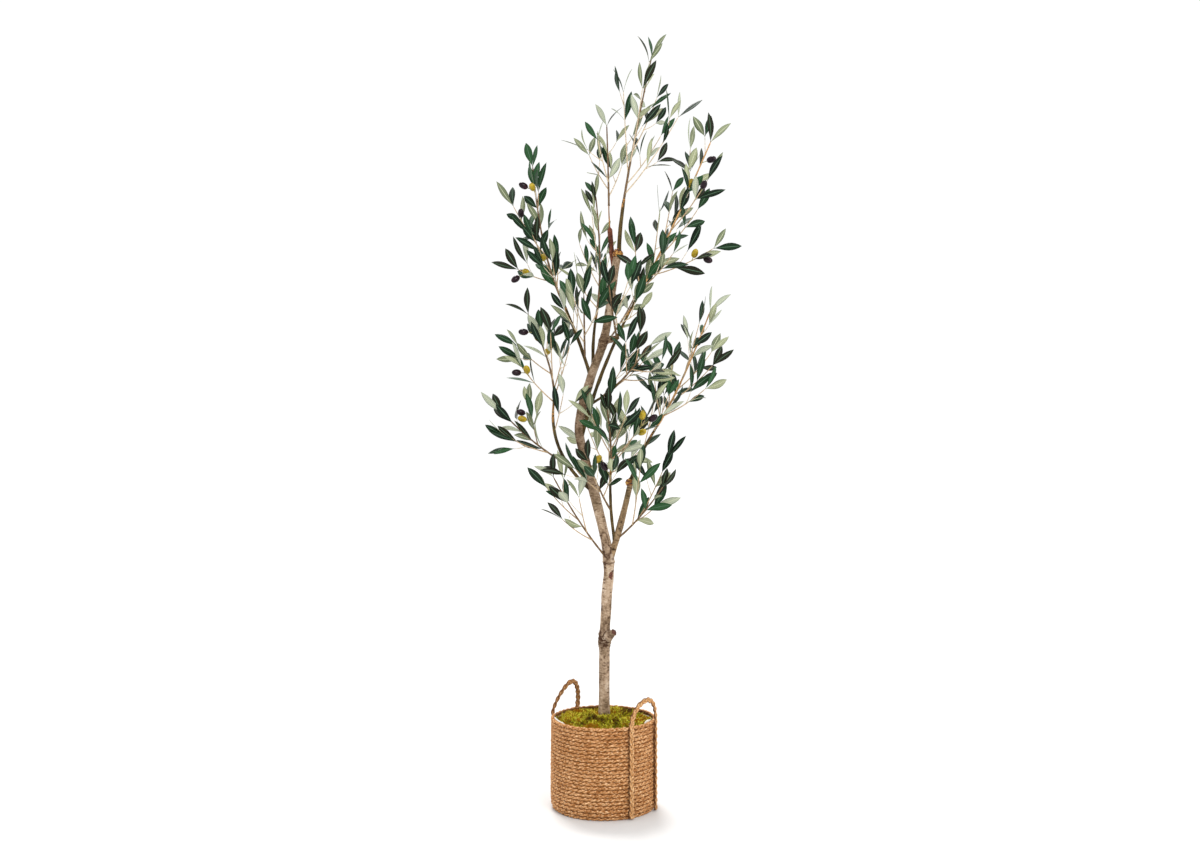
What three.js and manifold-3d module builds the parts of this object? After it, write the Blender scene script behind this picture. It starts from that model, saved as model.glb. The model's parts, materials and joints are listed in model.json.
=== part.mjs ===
// Artificial olive tree: a natural stick trunk with wired olive sprays, standing in a coiled-rope basket.
// Millimetres, +Z up. The origin is the middle of the basket's flat underside, and -Y is the front.
import * as THREE from "three";
import { mergeVertices } from "three/addons/utils/BufferGeometryUtils.js";
import Module from "manifold-3d";

const wasm = await Module();
wasm.setup();

// Clearance left wherever one piece is seated on another
const seatGap = 0.3;

// Basket: one rope coiled in level rows
const basket = {
  height: 213,
  rows: 24,
  bellyRadius: 126.5,
  rimRadius: 125,
  footTuck: 7, // how far the lowest rows draw in
  footTuckHeight: 22,
  wall: 9.5,
  floor: 9,
  groove: 1.8, // depth between two rows
  segments: 18,
};

// Handles: a flat plait up the outside of the wall, over in an arch and down again
const handle = {
  width: 13,
  thickness: 8,
  halfSpread: 20.5, // degrees from the arch's middle to each leg
  legFoot: 4,
  sides: 6,
  steps: 24,
};
const handles = [
  { name: "handle_right", azimuth: 50, rise: 56, lean: 0 },
  { name: "handle_left", azimuth: 230, rise: 70, lean: 30 },
];

// Moss bed that fills the basket and carries the trunk on its flat middle
const moss = { edgeHeight: 202, seatHeight: 218, seatRadius: 27, lump: 2.4 };

// Trunk: the bends of the stick from below its flat cut to its sawn top, its taper and its knots
const trunk = {
  foot: moss.seatHeight + seatGap,
  bends: [
    [2, 10, 206],
    [2, 8, 300],
    [3, 4, 402],
    [8, 2, 500],
    [12, 0, 590],
    [-15, 0, 716],
    [-42, 0, 818],
    [-58, 0, 906],
    [-32, 0, 1013],
    [0, 0, 1104],
    [17, 0, 1204],
    [33, 0, 1313],
  ],
  footRadius: 13.4,
  topRadius: 9.4,
  flare: 1.4,
  flareHeight: 25,
  knots: [
    { height: 397, swell: 2.8, spread: 20, stubTip: [27, -4, 421], stubRadius: 6 },
    { height: 590, swell: 2.4, spread: 24 },
    { height: 1104, swell: 2.2, spread: 16, stubTip: [36, 14, 1116], stubRadius: 4.2 },
  ],
  sides: 9,
  steps: 22,
  stubSides: 7,
  stubTaper: [1.15, 0.9], // of a stub's radius, at its foot and at its cut
};

// Boughs: where each leaves its parent, its tip, how far its middle bows aside, and its radii
const boughs = [
  {
    name: "right_stem",
    parent: "trunk", height: 578,
    tip: [64, -10, 769], bow: [2, 0, -4], radii: [8, 6.6],
  },
  {
    name: "right_bough",
    parent: "right_stem",
    tip: [130, 15, 906], radii: [4.4, 3.2],
  },
  {
    name: "inner_stem",
    parent: "right_stem", height: 624,
    tip: [17, -48, 801], bow: [-5, 8, 0], radii: [4, 3],
  },
  {
    name: "left_bough",
    parent: "trunk", height: 745,
    tip: [-118, -20, 956], bow: [-31, 0, -8], radii: [4.6, 3],
  },
  {
    name: "upper_left_bough",
    parent: "trunk", height: 1020,
    tip: [-104, 15, 1215], bow: [2, 0, 4], radii: [4.6, 3],
  },
  {
    name: "upper_right_bough",
    parent: "trunk", height: 868,
    tip: [84, -27, 1216], bow: [-13, -2, 0], radii: [4.8, 3],
  },
  {
    name: "middle_bough",
    parent: "upper_right_bough", height: 957,
    tip: [38, -62, 1006], bow: [2, 4, -2], radii: [3.2, 2.6],
  },
  {
    name: "back_bough",
    parent: "trunk", height: 1037,
    tip: [-17, 47, 1172], bow: [-4, 2, 0], radii: [4, 3],
  },
  {
    name: "leader",
    parent: "trunk", foot: [3.5, -1, 0],
    tip: [49, 5, 1445], bow: [-2, 0, 0], radii: [4.6, 3],
  },
  {
    name: "leader_side",
    parent: "trunk", height: 1270,
    tip: [13, 24, 1432], bow: [-3, 3, 0], radii: [3.2, 2.6],
  },
];
const onwardShare = 0.35; // of its length in which a limb keeps the direction of the one before it
const boughSides = 6;
const boughSteps = 6;
const limbSteps = 14; // straight segments that stand for a limb where room is measured

// Leaf masses: the limb that carries each, the tip of its stem, its side shoots (how far up the stem each one
// starts, then its tip) and its olives (each one's place across and up)
const masses = [
  {
    name: "leaves_top",
    limb: "leader",
    tip: [116, 10, 1790],
    bare: 0.25,
    shoots: [
      [0.05, 178, -20, 1637],
      [0.14, 141, 50, 1610],
      [0.22, 48, 35, 1712],
      [0.32, 92, -40, 1700],
      [0.4, 130, 45, 1700],
    ],
    olives: [],
  },
  {
    name: "leaves_top_left",
    limb: "leader_side",
    tip: [8, 62, 1636],
    bare: 0.1,
    shoots: [[0.25, -36, 90, 1570], [0.15, 46, 95, 1545], [0.35, -14, 10, 1590]],
    olives: [],
  },
  {
    name: "leaves_back_left",
    limb: "back_bough",
    tip: [-19, 120, 1476],
    bare: 0.1,
    shoots: [[0.08, -62, 15, 1250], [0.3, -60, 150, 1360], [0.22, 16, 140, 1330], [0.4, -28, 60, 1420]],
    olives: [],
  },
  {
    name: "leaves_upper_left",
    limb: "upper_left_bough",
    tip: [-171, 40, 1533],
    bare: 0,
    shoots: [
      [0.15, -204, -15, 1276],
      [0.38, -222, 85, 1445],
      [0.25, -168, -45, 1355],
      [0.03, -120, -50, 1290],
      [0.08, -110, 75, 1310],
    ],
    olives: [
      [-192, 1480],
      [-170, 1475],
      [-200, 1420],
      [-165, 1304],
      [-143, 1302],
      [-208, 1251],
      [-183, 1268],
    ],
  },
  {
    name: "leaves_inner_left",
    limb: "upper_left_bough",
    height: 1064,
    tip: [-46, -70, 1212],
    bare: 0.15,
    shoots: [[0.3, -92, -60, 1176], [0.42, -12, -95, 1176], [0.5, -70, -95, 1204]],
    olives: [],
  },
  {
    name: "leaves_upper_right",
    limb: "upper_right_bough",
    tip: [251, -60, 1569],
    bare: 0,
    shoots: [
      [0.16, 258, -75, 1318],
      [0.06, 160, -120, 1300],
      [0.22, 135, 30, 1420],
      [0.5, 241, -105, 1472],
      [0.36, 165, 0, 1465],
      [0.02, 72, -75, 1325],
      [0.3, 225, -10, 1420],
      [0.7, 205, -25, 1560],
    ],
    olives: [
      [251, 1524],
      [230, 1458],
      [204, 1470],
      [242, 1289],
      [212, 1305],
    ],
  },
  {
    name: "leaves_mid_left",
    limb: "left_bough",
    tip: [-177, -60, 1167],
    bare: 0,
    shoots: [
      [0.4, -205, 0, 1096],
      [0.32, -122, -100, 1121],
      [0.1, -78, -45, 1096],
      [0.03, -195, -35, 1046],
      [0.2, -90, 40, 1110],
    ],
    olives: [
      [-187, 1123],
      [-154, 1111],
      [-131, 1078],
      [-204, 1029],
      [-180, 1036],
    ],
  },
  {
    name: "leaves_low_left_arm",
    limb: "left_bough",
    height: 812,
    tip: [-246, 52, 938],
    bare: 0.2,
    shoots: [[0.3, -238, 5, 884], [0.45, -180, 75, 955]],
    olives: [[-200, 937], [-196, 921]],
  },
  {
    name: "leaves_low_left",
    limb: "trunk",
    height: 584,
    tip: [-118, -72, 788],
    bare: 0.3,
    shoots: [[0.4, -58, -55, 740], [0.3, -98, -60, 688], [0.55, -136, -25, 760]],
    olives: [],
  },
  {
    name: "leaves_low_right",
    limb: "right_stem",
    height: 634,
    tip: [138, -84, 764],
    bare: 0.3,
    shoots: [[0.5, 152, -48, 832], [0.35, 84, -105, 808], [0.42, 118, -50, 712]],
    olives: [],
  },
  {
    name: "leaves_right",
    limb: "right_bough",
    tip: [260, 60, 1184],
    bare: 0.05,
    shoots: [
      [0.12, 244, -10, 994],
      [0.4, 268, 110, 1088],
      [0.36, 190, 105, 1120],
      [0.22, 162, -40, 1066],
      [0.06, 118, -50, 1022],
      [0.28, 262, 5, 1050],
      [0.5, 228, -5, 1150],
    ],
    olives: [],
  },
  {
    name: "leaves_low_middle",
    limb: "inner_stem",
    tip: [8, -145, 942],
    bare: 0,
    shoots: [[0.2, 96, -112, 918], [0.4, 50, -165, 930], [0.1, 70, -60, 880], [0.3, -30, -100, 935]],
    olives: [[89, 929], [113, 922], [88, 890]],
  },
  {
    name: "leaves_middle",
    limb: "middle_bough",
    tip: [104, -145, 1088],
    bare: 0,
    shoots: [[0.45, 138, -165, 1030], [0.28, 50, -150, 1096], [0.12, 100, -85, 1012], [0.6, 84, -110, 1118]],
    olives: [],
  },
  {
    name: "leaves_front_low",
    limb: "inner_stem",
    height: 703,
    tip: [-36, -118, 826],
    bare: 0.3,
    shoots: [[0.45, -66, -90, 806], [0.35, 20, -120, 800]],
    olives: [[-13, 828], [1, 812]],
  },
  {
    name: "leaves_front_mid",
    limb: "upper_right_bough",
    height: 1112,
    tip: [12, -125, 1226],
    bare: 0.2,
    shoots: [[0.3, 84, -115, 1170], [0.4, 56, -130, 1236]],
    olives: [],
  },
  {
    name: "leaves_back_low",
    limb: "trunk",
    height: 735,
    tip: [47, 190, 906],
    bare: 0.25,
    shoots: [[0.44, -45, 175, 915], [0.34, 98, 140, 850], [0.56, 20, 130, 920]],
    olives: [],
  },
  {
    name: "leaves_back_mid",
    limb: "trunk",
    height: 1090,
    tip: [93, 180, 1259],
    bare: 0.25,
    shoots: [[0.4, 25, 205, 1250], [0.5, 110, 110, 1270]],
    olives: [],
  },
];

// Twigs, the short sprigs that fill a mass to the front and the back, leaves and olives
const twig = {
  stemFootRadius: 2.6, // of a stem that starts at a limb's side
  stemTipRadius: 1.6,
  footRadius: 2.2,
  tipRadius: 1.3,
  endShare: 0.25, // of its radius that a twig's cut end keeps
  sag: 0.05, // how far a shoot hangs below its straight line, as a share of its length
  ringGap: 75,
  sides: 3,
  forkHeight: 5, // along the stem, of the facet that a shoot is drawn out of
  forkGap: 13,
  slack: 2, // room above a fork or a node, in its own heights
  steps: 8, // straight segments that stand for a twig where room is measured
};
const sprig = { gap: 100, length: [58, 86], radius: 1.7, forward: 0.75, aside: 0.5, lift: 0.7 };
const leaf = {
  length: [47.5, 66],
  width: [13.6, 17.4],
  thickness: 1,
  shoulders: [0.32, 0.68], // where the blade has its full width
  rootHeight: 3, // along the twig, of the facet that a leaf is drawn out of
  tipGap: 4.8, // from the twig's end down to its last pair
  pairGap: 40,
  bareFoot: 0.25, // share of a shoot without leaves
  spread: [0.6, 1], // angle to the twig, in radians
  tipSpread: [0.34, 0.56],
  curl: [0.03, 0.24], // how far the tip bends back, as a share of the length
  twist: [-0.5, 0.5], // radians about the leaf's own length
  stray: [-0.25, 0.25], // radians round the twig
  room: 3, // kept round the lines that stand for a leaf
  tries: 5,
};
const olive = {
  length: 22,
  width: 15,
  stalkRadius: 0.9,
  stalkSlant: 12, // how far down the twig from the fruit its stalk starts
  forward: [14, 24, 34], // how far in front of the twig it may hang
  nodeHeight: 2,
  rings: [0.12, 0.75, 1.57, 2.4], // angles from the stalk at which the fruit has a ring
  sides: 5,
};
const firstSeed = 4100;

const up = new THREE.Vector3(0, 0, 1);
const vector = (values) => new THREE.Vector3(...values);

// The same stream of numbers from 0 to 1 for the same seed
function seededRandom(seed) {
  let state = seed >>> 0;
  return () => {
    state = (Math.imul(state, 1664525) + 1013904223) >>> 0;
    return state / 4294967296;
  };
}

// A number dealt from a range
const pick = ([low, high], random) => THREE.MathUtils.lerp(low, high, random());

// Two directions square to a tangent, which keep their sense along a limb
function squareTo(tangent) {
  const reference = Math.abs(tangent.y) > 0.97 ? new THREE.Vector3(1, 0, 0) : new THREE.Vector3(0, 1, 0);
  const side = new THREE.Vector3().crossVectors(tangent, reference).normalize();
  const front = new THREE.Vector3().crossVectors(side, tangent);
  return { side, front };
}

// A plain geometry with shared corners, holding nothing but positions
function weld(geometry) {
  geometry.deleteAttribute("normal");
  geometry.deleteAttribute("uv");
  return mergeVertices(geometry, 1e-5);
}

// Moves each corner of a geometry by a function of its old place
function reshape(geometry, move) {
  const place = geometry.getAttribute("position");
  const corner = new THREE.Vector3();
  for (let i = 0; i < place.count; i += 1) {
    corner.fromBufferAttribute(place, i);
    move(corner);
    place.setXYZ(i, corner.x, corner.y, corner.z);
  }
  return geometry;
}

// A closed round bar bent along a curve, with its own radius at each share of the length
function bar(curve, radiusAt, sides, steps) {
  return reshape(weld(new THREE.CylinderGeometry(1, 1, 1, sides, steps)), (corner) => {
    const share = corner.y + 0.5;
    const { side, front } = squareTo(curve.getTangent(share));
    const radius = radiusAt(share);
    const [across, along] = [corner.x * radius, corner.z * radius];
    corner.copy(curve.getPoint(share)).addScaledVector(side, across).addScaledVector(front, along);
  });
}

function solidOf(geometry) {
  const positions = new Float32Array(geometry.getAttribute("position").array);
  const triVerts = new Uint32Array(geometry.index.array);
  return new wasm.Manifold(new wasm.Mesh({ numProp: 3, vertProperties: positions, triVerts }));
}

function geometryOf(solid) {
  const mesh = solid.getMesh();
  const geometry = new THREE.BufferGeometry();
  geometry.setAttribute("position", new THREE.BufferAttribute(new Float32Array(mesh.vertProperties), 3));
  geometry.setIndex(new THREE.BufferAttribute(new Uint32Array(mesh.triVerts), 1));
  return geometry;
}

// A bowed curve: its middle stands off the straight line by the bow
function bowedCurve(foot, tip, bow) {
  const control = foot.clone().add(tip).multiplyScalar(0.5).addScaledVector(bow, 2);
  return new THREE.QuadraticBezierCurve3(foot, control, tip);
}

// A curve that leaves a limb's tip in the limb's own direction
function onwardCurve(foot, tip, direction) {
  const control = foot.clone().addScaledVector(direction, foot.distanceTo(tip) * onwardShare);
  return new THREE.QuadraticBezierCurve3(foot, control, tip);
}

// The share of a rising curve at which it reaches a height
function shareAtHeight(curve, height) {
  let [low, high] = [0, 1];
  for (let i = 0; i < 40; i += 1) {
    const middle = (low + high) / 2;
    if (curve.getPoint(middle).z < height) low = middle;
    else high = middle;
  }
  return (low + high) / 2;
}

// Basket

function wallRadius(height) {
  const tuck = Math.max(0, 1 - height / basket.footTuckHeight);
  const lean = (basket.bellyRadius - basket.rimRadius) * Math.max(0, (2 * height) / basket.height - 1);
  return basket.bellyRadius - basket.footTuck * tuck * tuck - lean;
}

function basketGeometry() {
  const rowHeight = basket.height / basket.rows;
  const profile = [new THREE.Vector2(0, 0), new THREE.Vector2(wallRadius(0) - basket.groove, 0)];
  for (let row = 0; row < basket.rows; row += 1) {
    const crest = (row + 0.5) * rowHeight;
    const top = (row + 1) * rowHeight;
    profile.push(new THREE.Vector2(wallRadius(crest), crest));
    profile.push(new THREE.Vector2(wallRadius(top) - basket.groove, top));
  }
  const innerRadius = basket.bellyRadius - basket.wall;
  profile.push(new THREE.Vector2(innerRadius, basket.height - rowHeight / 2));
  profile.push(new THREE.Vector2(innerRadius, basket.floor), new THREE.Vector2(0, basket.floor));
  return weld(new THREE.LatheGeometry(profile, basket.segments)).rotateX(Math.PI / 2);
}

function aroundBasket(degrees, radius, height) {
  const angle = THREE.MathUtils.degToRad(degrees);
  return new THREE.Vector3(Math.sin(angle) * radius, -Math.cos(angle) * radius, height);
}

// The legs stand on two of the wall's flats, which lie a little further in than its corners
function handleGeometry({ azimuth, rise, lean }) {
  const flatRadius = basket.bellyRadius * Math.cos(Math.PI / basket.segments);
  const legRadius = flatRadius + seatGap + handle.thickness / 2;
  const legSteps = 4;
  const archSteps = 10;
  const points = [];
  for (let i = 0; i < legSteps; i += 1) {
    const height = THREE.MathUtils.lerp(handle.legFoot, basket.height, i / legSteps);
    points.push(aroundBasket(azimuth - handle.halfSpread, legRadius, height));
  }
  for (let i = 0; i <= archSteps; i += 1) {
    const turn = (Math.PI * i) / archSteps;
    const lift = Math.sin(turn);
    const degrees = azimuth - handle.halfSpread * Math.cos(turn);
    points.push(aroundBasket(degrees, legRadius - lean * lift, basket.height + rise * lift));
  }
  for (let i = legSteps - 1; i >= 0; i -= 1) {
    const height = THREE.MathUtils.lerp(handle.legFoot, basket.height, i / legSteps);
    points.push(aroundBasket(azimuth + handle.halfSpread, legRadius, height));
  }
  const curve = new THREE.CatmullRomCurve3(points);
  return reshape(weld(new THREE.CylinderGeometry(1, 1, 1, handle.sides, handle.steps)), (corner) => {
    const share = corner.y + 0.5;
    const tangent = curve.getTangentAt(share);
    const place = curve.getPointAt(share);
    const outward = new THREE.Vector3(place.x, place.y, 0);
    const across = new THREE.Vector3().crossVectors(outward, tangent).normalize();
    const thick = new THREE.Vector3().crossVectors(across, tangent);
    const [wide, deep] = [(corner.x * handle.width) / 2, (corner.z * handle.thickness) / 2];
    corner.copy(place).addScaledVector(across, wide).addScaledVector(thick, deep);
  });
}

// The bed's top rises in a mound to the flat seat and is lumpy between seat and wall
function mossGeometry() {
  const edge = basket.bellyRadius - basket.wall - seatGap;
  const bottom = basket.floor + seatGap;
  const rings = 5;
  const profile = [new THREE.Vector2(0, bottom), new THREE.Vector2(edge, bottom)];
  for (let ring = 0; ring <= rings; ring += 1) {
    const share = ring / rings;
    const mound = Math.sin((share * Math.PI) / 2);
    const radius = THREE.MathUtils.lerp(edge, moss.seatRadius, share);
    profile.push(new THREE.Vector2(radius, THREE.MathUtils.lerp(moss.edgeHeight, moss.seatHeight, mound)));
  }
  profile.push(new THREE.Vector2(0, moss.seatHeight));
  const geometry = weld(new THREE.LatheGeometry(profile, basket.segments)).rotateX(Math.PI / 2);
  return reshape(geometry, (corner) => {
    const radius = Math.hypot(corner.x, corner.y);
    const free = corner.z > bottom + 1 && radius > moss.seatRadius + 1 && radius < edge - 1;
    if (free) corner.z += moss.lump * Math.sin(corner.x * 0.11) * Math.cos(corner.y * 0.13 + corner.x * 0.05);
  });
}

// Trunk and boughs

function trunkRadius(share, height) {
  const taper = THREE.MathUtils.lerp(trunk.footRadius, trunk.topRadius, share);
  const flare = trunk.flare * Math.exp((trunk.foot - height) / trunk.flareHeight);
  const swell = trunk.knots.reduce((sum, knot) => {
    const away = (height - knot.height) / knot.spread;
    return sum + knot.swell * Math.exp(-away * away);
  }, 0);
  return taper + flare + swell;
}

// limbs holds, by name, each limb's curve and radius, and a function that makes its solid a little larger
const limbs = new Map();

function addTrunk() {
  const curve = new THREE.CatmullRomCurve3(trunk.bends.map(vector), false, "catmullrom", 0.5);
  const radiusAt = (share) => trunkRadius(share, curve.getPoint(share).z);
  const stubs = trunk.knots.filter((knot) => knot.stubTip).map((knot) => {
    const foot = curve.getPoint(shareAtHeight(curve, knot.height));
    return { curve: new THREE.LineCurve3(foot, vector(knot.stubTip)), radius: knot.stubRadius };
  });
  const solidAt = (extra) => {
    const stick = solidOf(bar(curve, (share) => radiusAt(share) + extra, trunk.sides, trunk.steps));
    const whole = stubs.reduce((joined, stub) => {
      const radiusAlong = (share) => (stub.radius + extra) * THREE.MathUtils.lerp(...trunk.stubTaper, share);
      return joined.add(solidOf(bar(stub.curve, radiusAlong, trunk.stubSides, 1)));
    }, stick);
    return whole.trimByPlane([0, 0, 1], trunk.foot);
  };
  limbs.set("trunk", { curve, radiusAt, solidAt, stubs, solid: solidAt(0) });
}

// A limb starts at its parent's tip, clear of the cut face, or inside the parent at a height
function limbFoot(parent, { height, foot }, direction) {
  if (height !== undefined) return parent.curve.getPoint(shareAtHeight(parent.curve, height));
  const end = parent.curve.getPoint(1);
  if (foot) return end.add(vector(foot)).addScaledVector(up, seatGap * 1.5);
  return end.addScaledVector(direction, seatGap);
}

function addBough(bough) {
  const parent = limbs.get(bough.parent);
  const tip = vector(bough.tip);
  const onward = parent.curve.getTangent(1);
  const foot = limbFoot(parent, bough, onward);
  const curve = bough.bow ? bowedCurve(foot, tip, vector(bough.bow)) : onwardCurve(foot, tip, onward);
  const radiusAt = (share) => THREE.MathUtils.lerp(...bough.radii, share);
  const solidAt = (extra) => solidOf(bar(curve, (share) => radiusAt(share) + extra, boughSides, boughSteps));
  const solid = seated(solidAt(0), parent);
  limbs.set(bough.name, { curve, radiusAt, solidAt, solid, stubs: [] });
}

// Cuts a piece back from the limb that carries it, so that it sits on the bark with the seat's gap
function seated(solid, carrier) {
  return solid.subtract(carrier.solidAt(seatGap * 1.2));
}

// Foliage: first every twig, then the leaves and olives that have room

// The shortest distance between two straight segments
function segmentGap(a, b) {
  const first = a.end.clone().sub(a.start);
  const second = b.end.clone().sub(b.start);
  const between = a.start.clone().sub(b.start);
  const aa = first.dot(first);
  const bb = second.dot(second);
  const ab = first.dot(second);
  const at = first.dot(between);
  const bt = second.dot(between);
  const cross = aa * bb - ab * ab;
  let s = cross > 1e-9 ? THREE.MathUtils.clamp((ab * bt - at * bb) / cross, 0, 1) : 0;
  let t = (ab * s + bt) / bb;
  if (t < 0 || t > 1) {
    t = THREE.MathUtils.clamp(t, 0, 1);
    s = THREE.MathUtils.clamp((ab * t - at) / aa, 0, 1);
  }
  return between.addScaledVector(first, s).addScaledVector(second, -t).length();
}

function segmentsAlong(curve, radiusAt, count, twigOf) {
  return Array.from({ length: count }, (_, i) => ({
    start: curve.getPoint(i / count),
    end: curve.getPoint((i + 1) / count),
    radius: Math.max(radiusAt(i / count), radiusAt((i + 1) / count)),
    twigOf,
  }));
}

// Whether new segments keep clear of all those taken, but for the twig they grow on and their own pair
function hasRoom(segments, taken) {
  return segments.every((mine) =>
    taken.every((other) => {
      const paired = mine.pair !== undefined && other.pair === mine.pair;
      const related = other.twigOf && (other.twigOf === mine.growsOn || paired);
      return related || segmentGap(mine, other) > mine.radius + other.radius + seatGap;
    }),
  );
}

function limbSegments() {
  return [...limbs.values()].flatMap((limb) => [
    ...segmentsAlong(limb.curve, limb.radiusAt, limbSteps),
    ...limb.stubs.map((stub) => ({
      start: stub.curve.v1,
      end: stub.curve.v2,
      radius: stub.radius * trunk.stubTaper[0],
    })),
  ]);
}

function saggingCurve(foot, tip) {
  return bowedCurve(foot, tip, up.clone().multiplyScalar(-twig.sag * foot.distanceTo(tip)));
}

// A twig tapers evenly and its cut end is drawn in
const twigRadius = (laid) => (share) => {
  const taper = THREE.MathUtils.lerp(...laid.radii, share);
  return share < 1 ? taper : taper * twig.endShare;
};

// A twig's facets turn by a twelfth of a circle from pair to pair, so that every pair finds two facets that
// look its way
function facetTurn(laid, share, facet) {
  const fromTip = (1 - share) * laid.length - leaf.tipGap;
  return laid.roll - ((Math.PI / 6) * fromTip) / leaf.pairGap + (facet * 2 * Math.PI) / twig.sides;
}

// The facet of a twig that looks most towards a direction, and the direction across that facet
function facetTowards(laid, share, direction) {
  const { side, front } = squareTo(laid.curve.getTangent(share));
  const turn = Math.atan2(direction.dot(front), direction.dot(side)) - facetTurn(laid, share, 0);
  const facet = Math.round((turn * twig.sides) / (2 * Math.PI));
  const looks = facetTurn(laid, share, facet);
  return {
    facet: ((facet % twig.sides) + twig.sides) % twig.sides,
    across: front.clone().multiplyScalar(Math.cos(looks)).addScaledVector(side, -Math.sin(looks)),
  };
}

function newTwig(curve, radii, bare) {
  return { curve, radii, bare, length: curve.getLength(), roll: 0, leaves: [], forks: [], fruit: [] };
}

// Moves a place along a twig past the forks and fruit that already stand there
function freeShare(laid, share, height) {
  const busy = [
    ...laid.forks.map(({ at }) => [at, twig.forkHeight]),
    ...laid.fruit.map(({ at }) => [at, olive.nodeHeight]),
  ].sort((a, b) => a[0] - b[0]);
  for (const [at, tall] of busy) {
    const past = (share - at) * laid.length;
    const blocked = past > -height * twig.slack && past < tall * twig.slack;
    if (blocked) share = at + (tall * twig.slack) / laid.length;
  }
  return share;
}

// A fork takes the stem's facet that looks most its way; its own first corner follows that facet's corner
function addFork(stem, at, child) {
  const away = child.curve.getPoint(0.3).sub(child.curve.getPoint(0));
  const { facet, across } = facetTowards(stem, at, away);
  const { side, front } = squareTo(child.curve.getTangent(0.1));
  const firstCorner = Math.atan2(across.dot(front), across.dot(side));
  child.roll = firstCorner - facetTurn(child, 0.1, -0.5);
  stem.forks.push({ at, facet, child });
}

// A mass's stem goes on from its limb, and its shoots leave the stem and sag a little before they rise
function layTwigs(mass, random, taken) {
  const limb = limbs.get(mass.limb);
  const stemTip = vector(mass.tip);
  const onward = limb.curve.getTangent(1);
  const foot = limbFoot(limb, mass, onward);
  const onTip = mass.height === undefined;
  const curve = onTip ? onwardCurve(foot, stemTip, onward) : saggingCurve(foot, stemTip);
  const footRadius = onTip ? limb.radiusAt(1) : twig.stemFootRadius;
  const stem = newTwig(curve, [footRadius, twig.stemTipRadius], mass.bare);
  stem.roll = random() * Math.PI;
  const grown = [stem];
  taken.push(...segmentsAlong(curve, twigRadius(stem), twig.steps, stem));
  const grow = (at, end, radius) => {
    const child = newTwig(saggingCurve(curve.getPoint(at), end), [radius, twig.tipRadius], leaf.bareFoot);
    const segments = segmentsAlong(child.curve, twigRadius(child), twig.steps, child);
    const free = segments.slice(1).map((segment) => ({ ...segment, growsOn: stem }));
    const crowded = stem.forks.some((fork) => Math.abs(fork.at - at) * stem.length < twig.forkGap);
    if (crowded || !hasRoom(free, taken)) return;
    addFork(stem, at, child);
    grown.push(child);
    taken.push(...segments);
  };
  mass.shoots.forEach(([at, ...end]) => grow(at, vector(end), twig.footRadius));
  const sprigs = Math.floor((stem.length * (1 - mass.bare)) / sprig.gap);
  for (let i = 0; i < sprigs; i += 1) {
    const share = mass.bare + ((1 - mass.bare) * (i + 0.5)) / (sprigs + 0.5);
    const forward = (i % 2 ? 1 : -1) * sprig.forward;
    const reach = new THREE.Vector3((random() - 0.5) * sprig.aside, forward, 0);
    reach.addScaledVector(curve.getTangent(share), sprig.lift).setLength(pick(sprig.length, random));
    grow(share, curve.getPoint(share).add(reach), sprig.radius);
  }
  return grown;
}

// One leaf of a pair, with its own angle, size and bend; the two facets of a pair look a third of a turn
// apart, so each leaf leans aside to stand opposite the other
function drawLeaf(laid, share, facet, lean, atTip, random) {
  const tangent = laid.curve.getTangent(share);
  const { side, front } = squareTo(tangent);
  const turn = facetTurn(laid, share, facet) + lean + pick(leaf.stray, random);
  const outward = side.clone().multiplyScalar(Math.cos(turn)).addScaledVector(front, Math.sin(turn));
  const angle = pick(atTip ? leaf.tipSpread : leaf.spread, random);
  const along = tangent.clone().multiplyScalar(Math.cos(angle)).addScaledVector(outward, Math.sin(angle));
  const face = tangent.clone().addScaledVector(along, -tangent.dot(along)).normalize();
  face.applyAxisAngle(along, pick(leaf.twist, random));
  return {
    share,
    facet: facet % twig.sides,
    root: laid.curve.getPoint(share),
    along,
    face,
    length: pick(leaf.length, random),
    width: pick(leaf.width, random),
    curl: pick(leaf.curl, random),
  };
}

function leafPoint(made, share, aside = 0) {
  const bend = -made.curl * made.length * share * share;
  const across = new THREE.Vector3().crossVectors(made.along, made.face);
  const place = made.root.clone().addScaledVector(made.along, made.length * share);
  return place.addScaledVector(made.face, bend).addScaledVector(across, aside);
}

// Lines along the middle and both edges of a leaf's blade
function leafSegments(made, laid) {
  const pair = laid.curve.getPoint(made.share).x;
  return [-0.5, 0, 0.5].flatMap((edge) => {
    const points = [leafPoint(made, 0.08), leafPoint(made, 0.45, edge * made.width), leafPoint(made, 1)];
    return [0, 1].map((i) => ({
      start: points[i],
      end: points[i + 1],
      radius: leaf.room,
      twigOf: made,
      growsOn: laid,
      pair,
    }));
  });
}

// Leaves stand in opposite pairs, each pair a quarter turn from the next, with a pair at the twig's tip;
// a leaf that finds no room is tried again in another pose and then left out
function layLeaves(laid, random, taken) {
  const pairs = Math.max(1, Math.round((laid.length * (1 - laid.bare)) / leaf.pairGap));
  for (let pair = 0; pair < pairs; pair += 1) {
    const even = 1 - (pair * leaf.pairGap + leaf.tipGap) / laid.length;
    const share = freeShare(laid, even, leaf.rootHeight);
    for (const [facet, lean] of [[pair, -Math.PI / 6], [pair + 1, Math.PI / 6]]) {
      for (let attempt = 0; attempt < leaf.tries; attempt += 1) {
        const made = drawLeaf(laid, share, facet, lean, pair === 0, random);
        const segments = leafSegments(made, laid);
        if (!hasRoom(segments, taken)) continue;
        taken.push(...segments);
        laid.leaves.push(made);
        break;
      }
    }
  }
}

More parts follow.
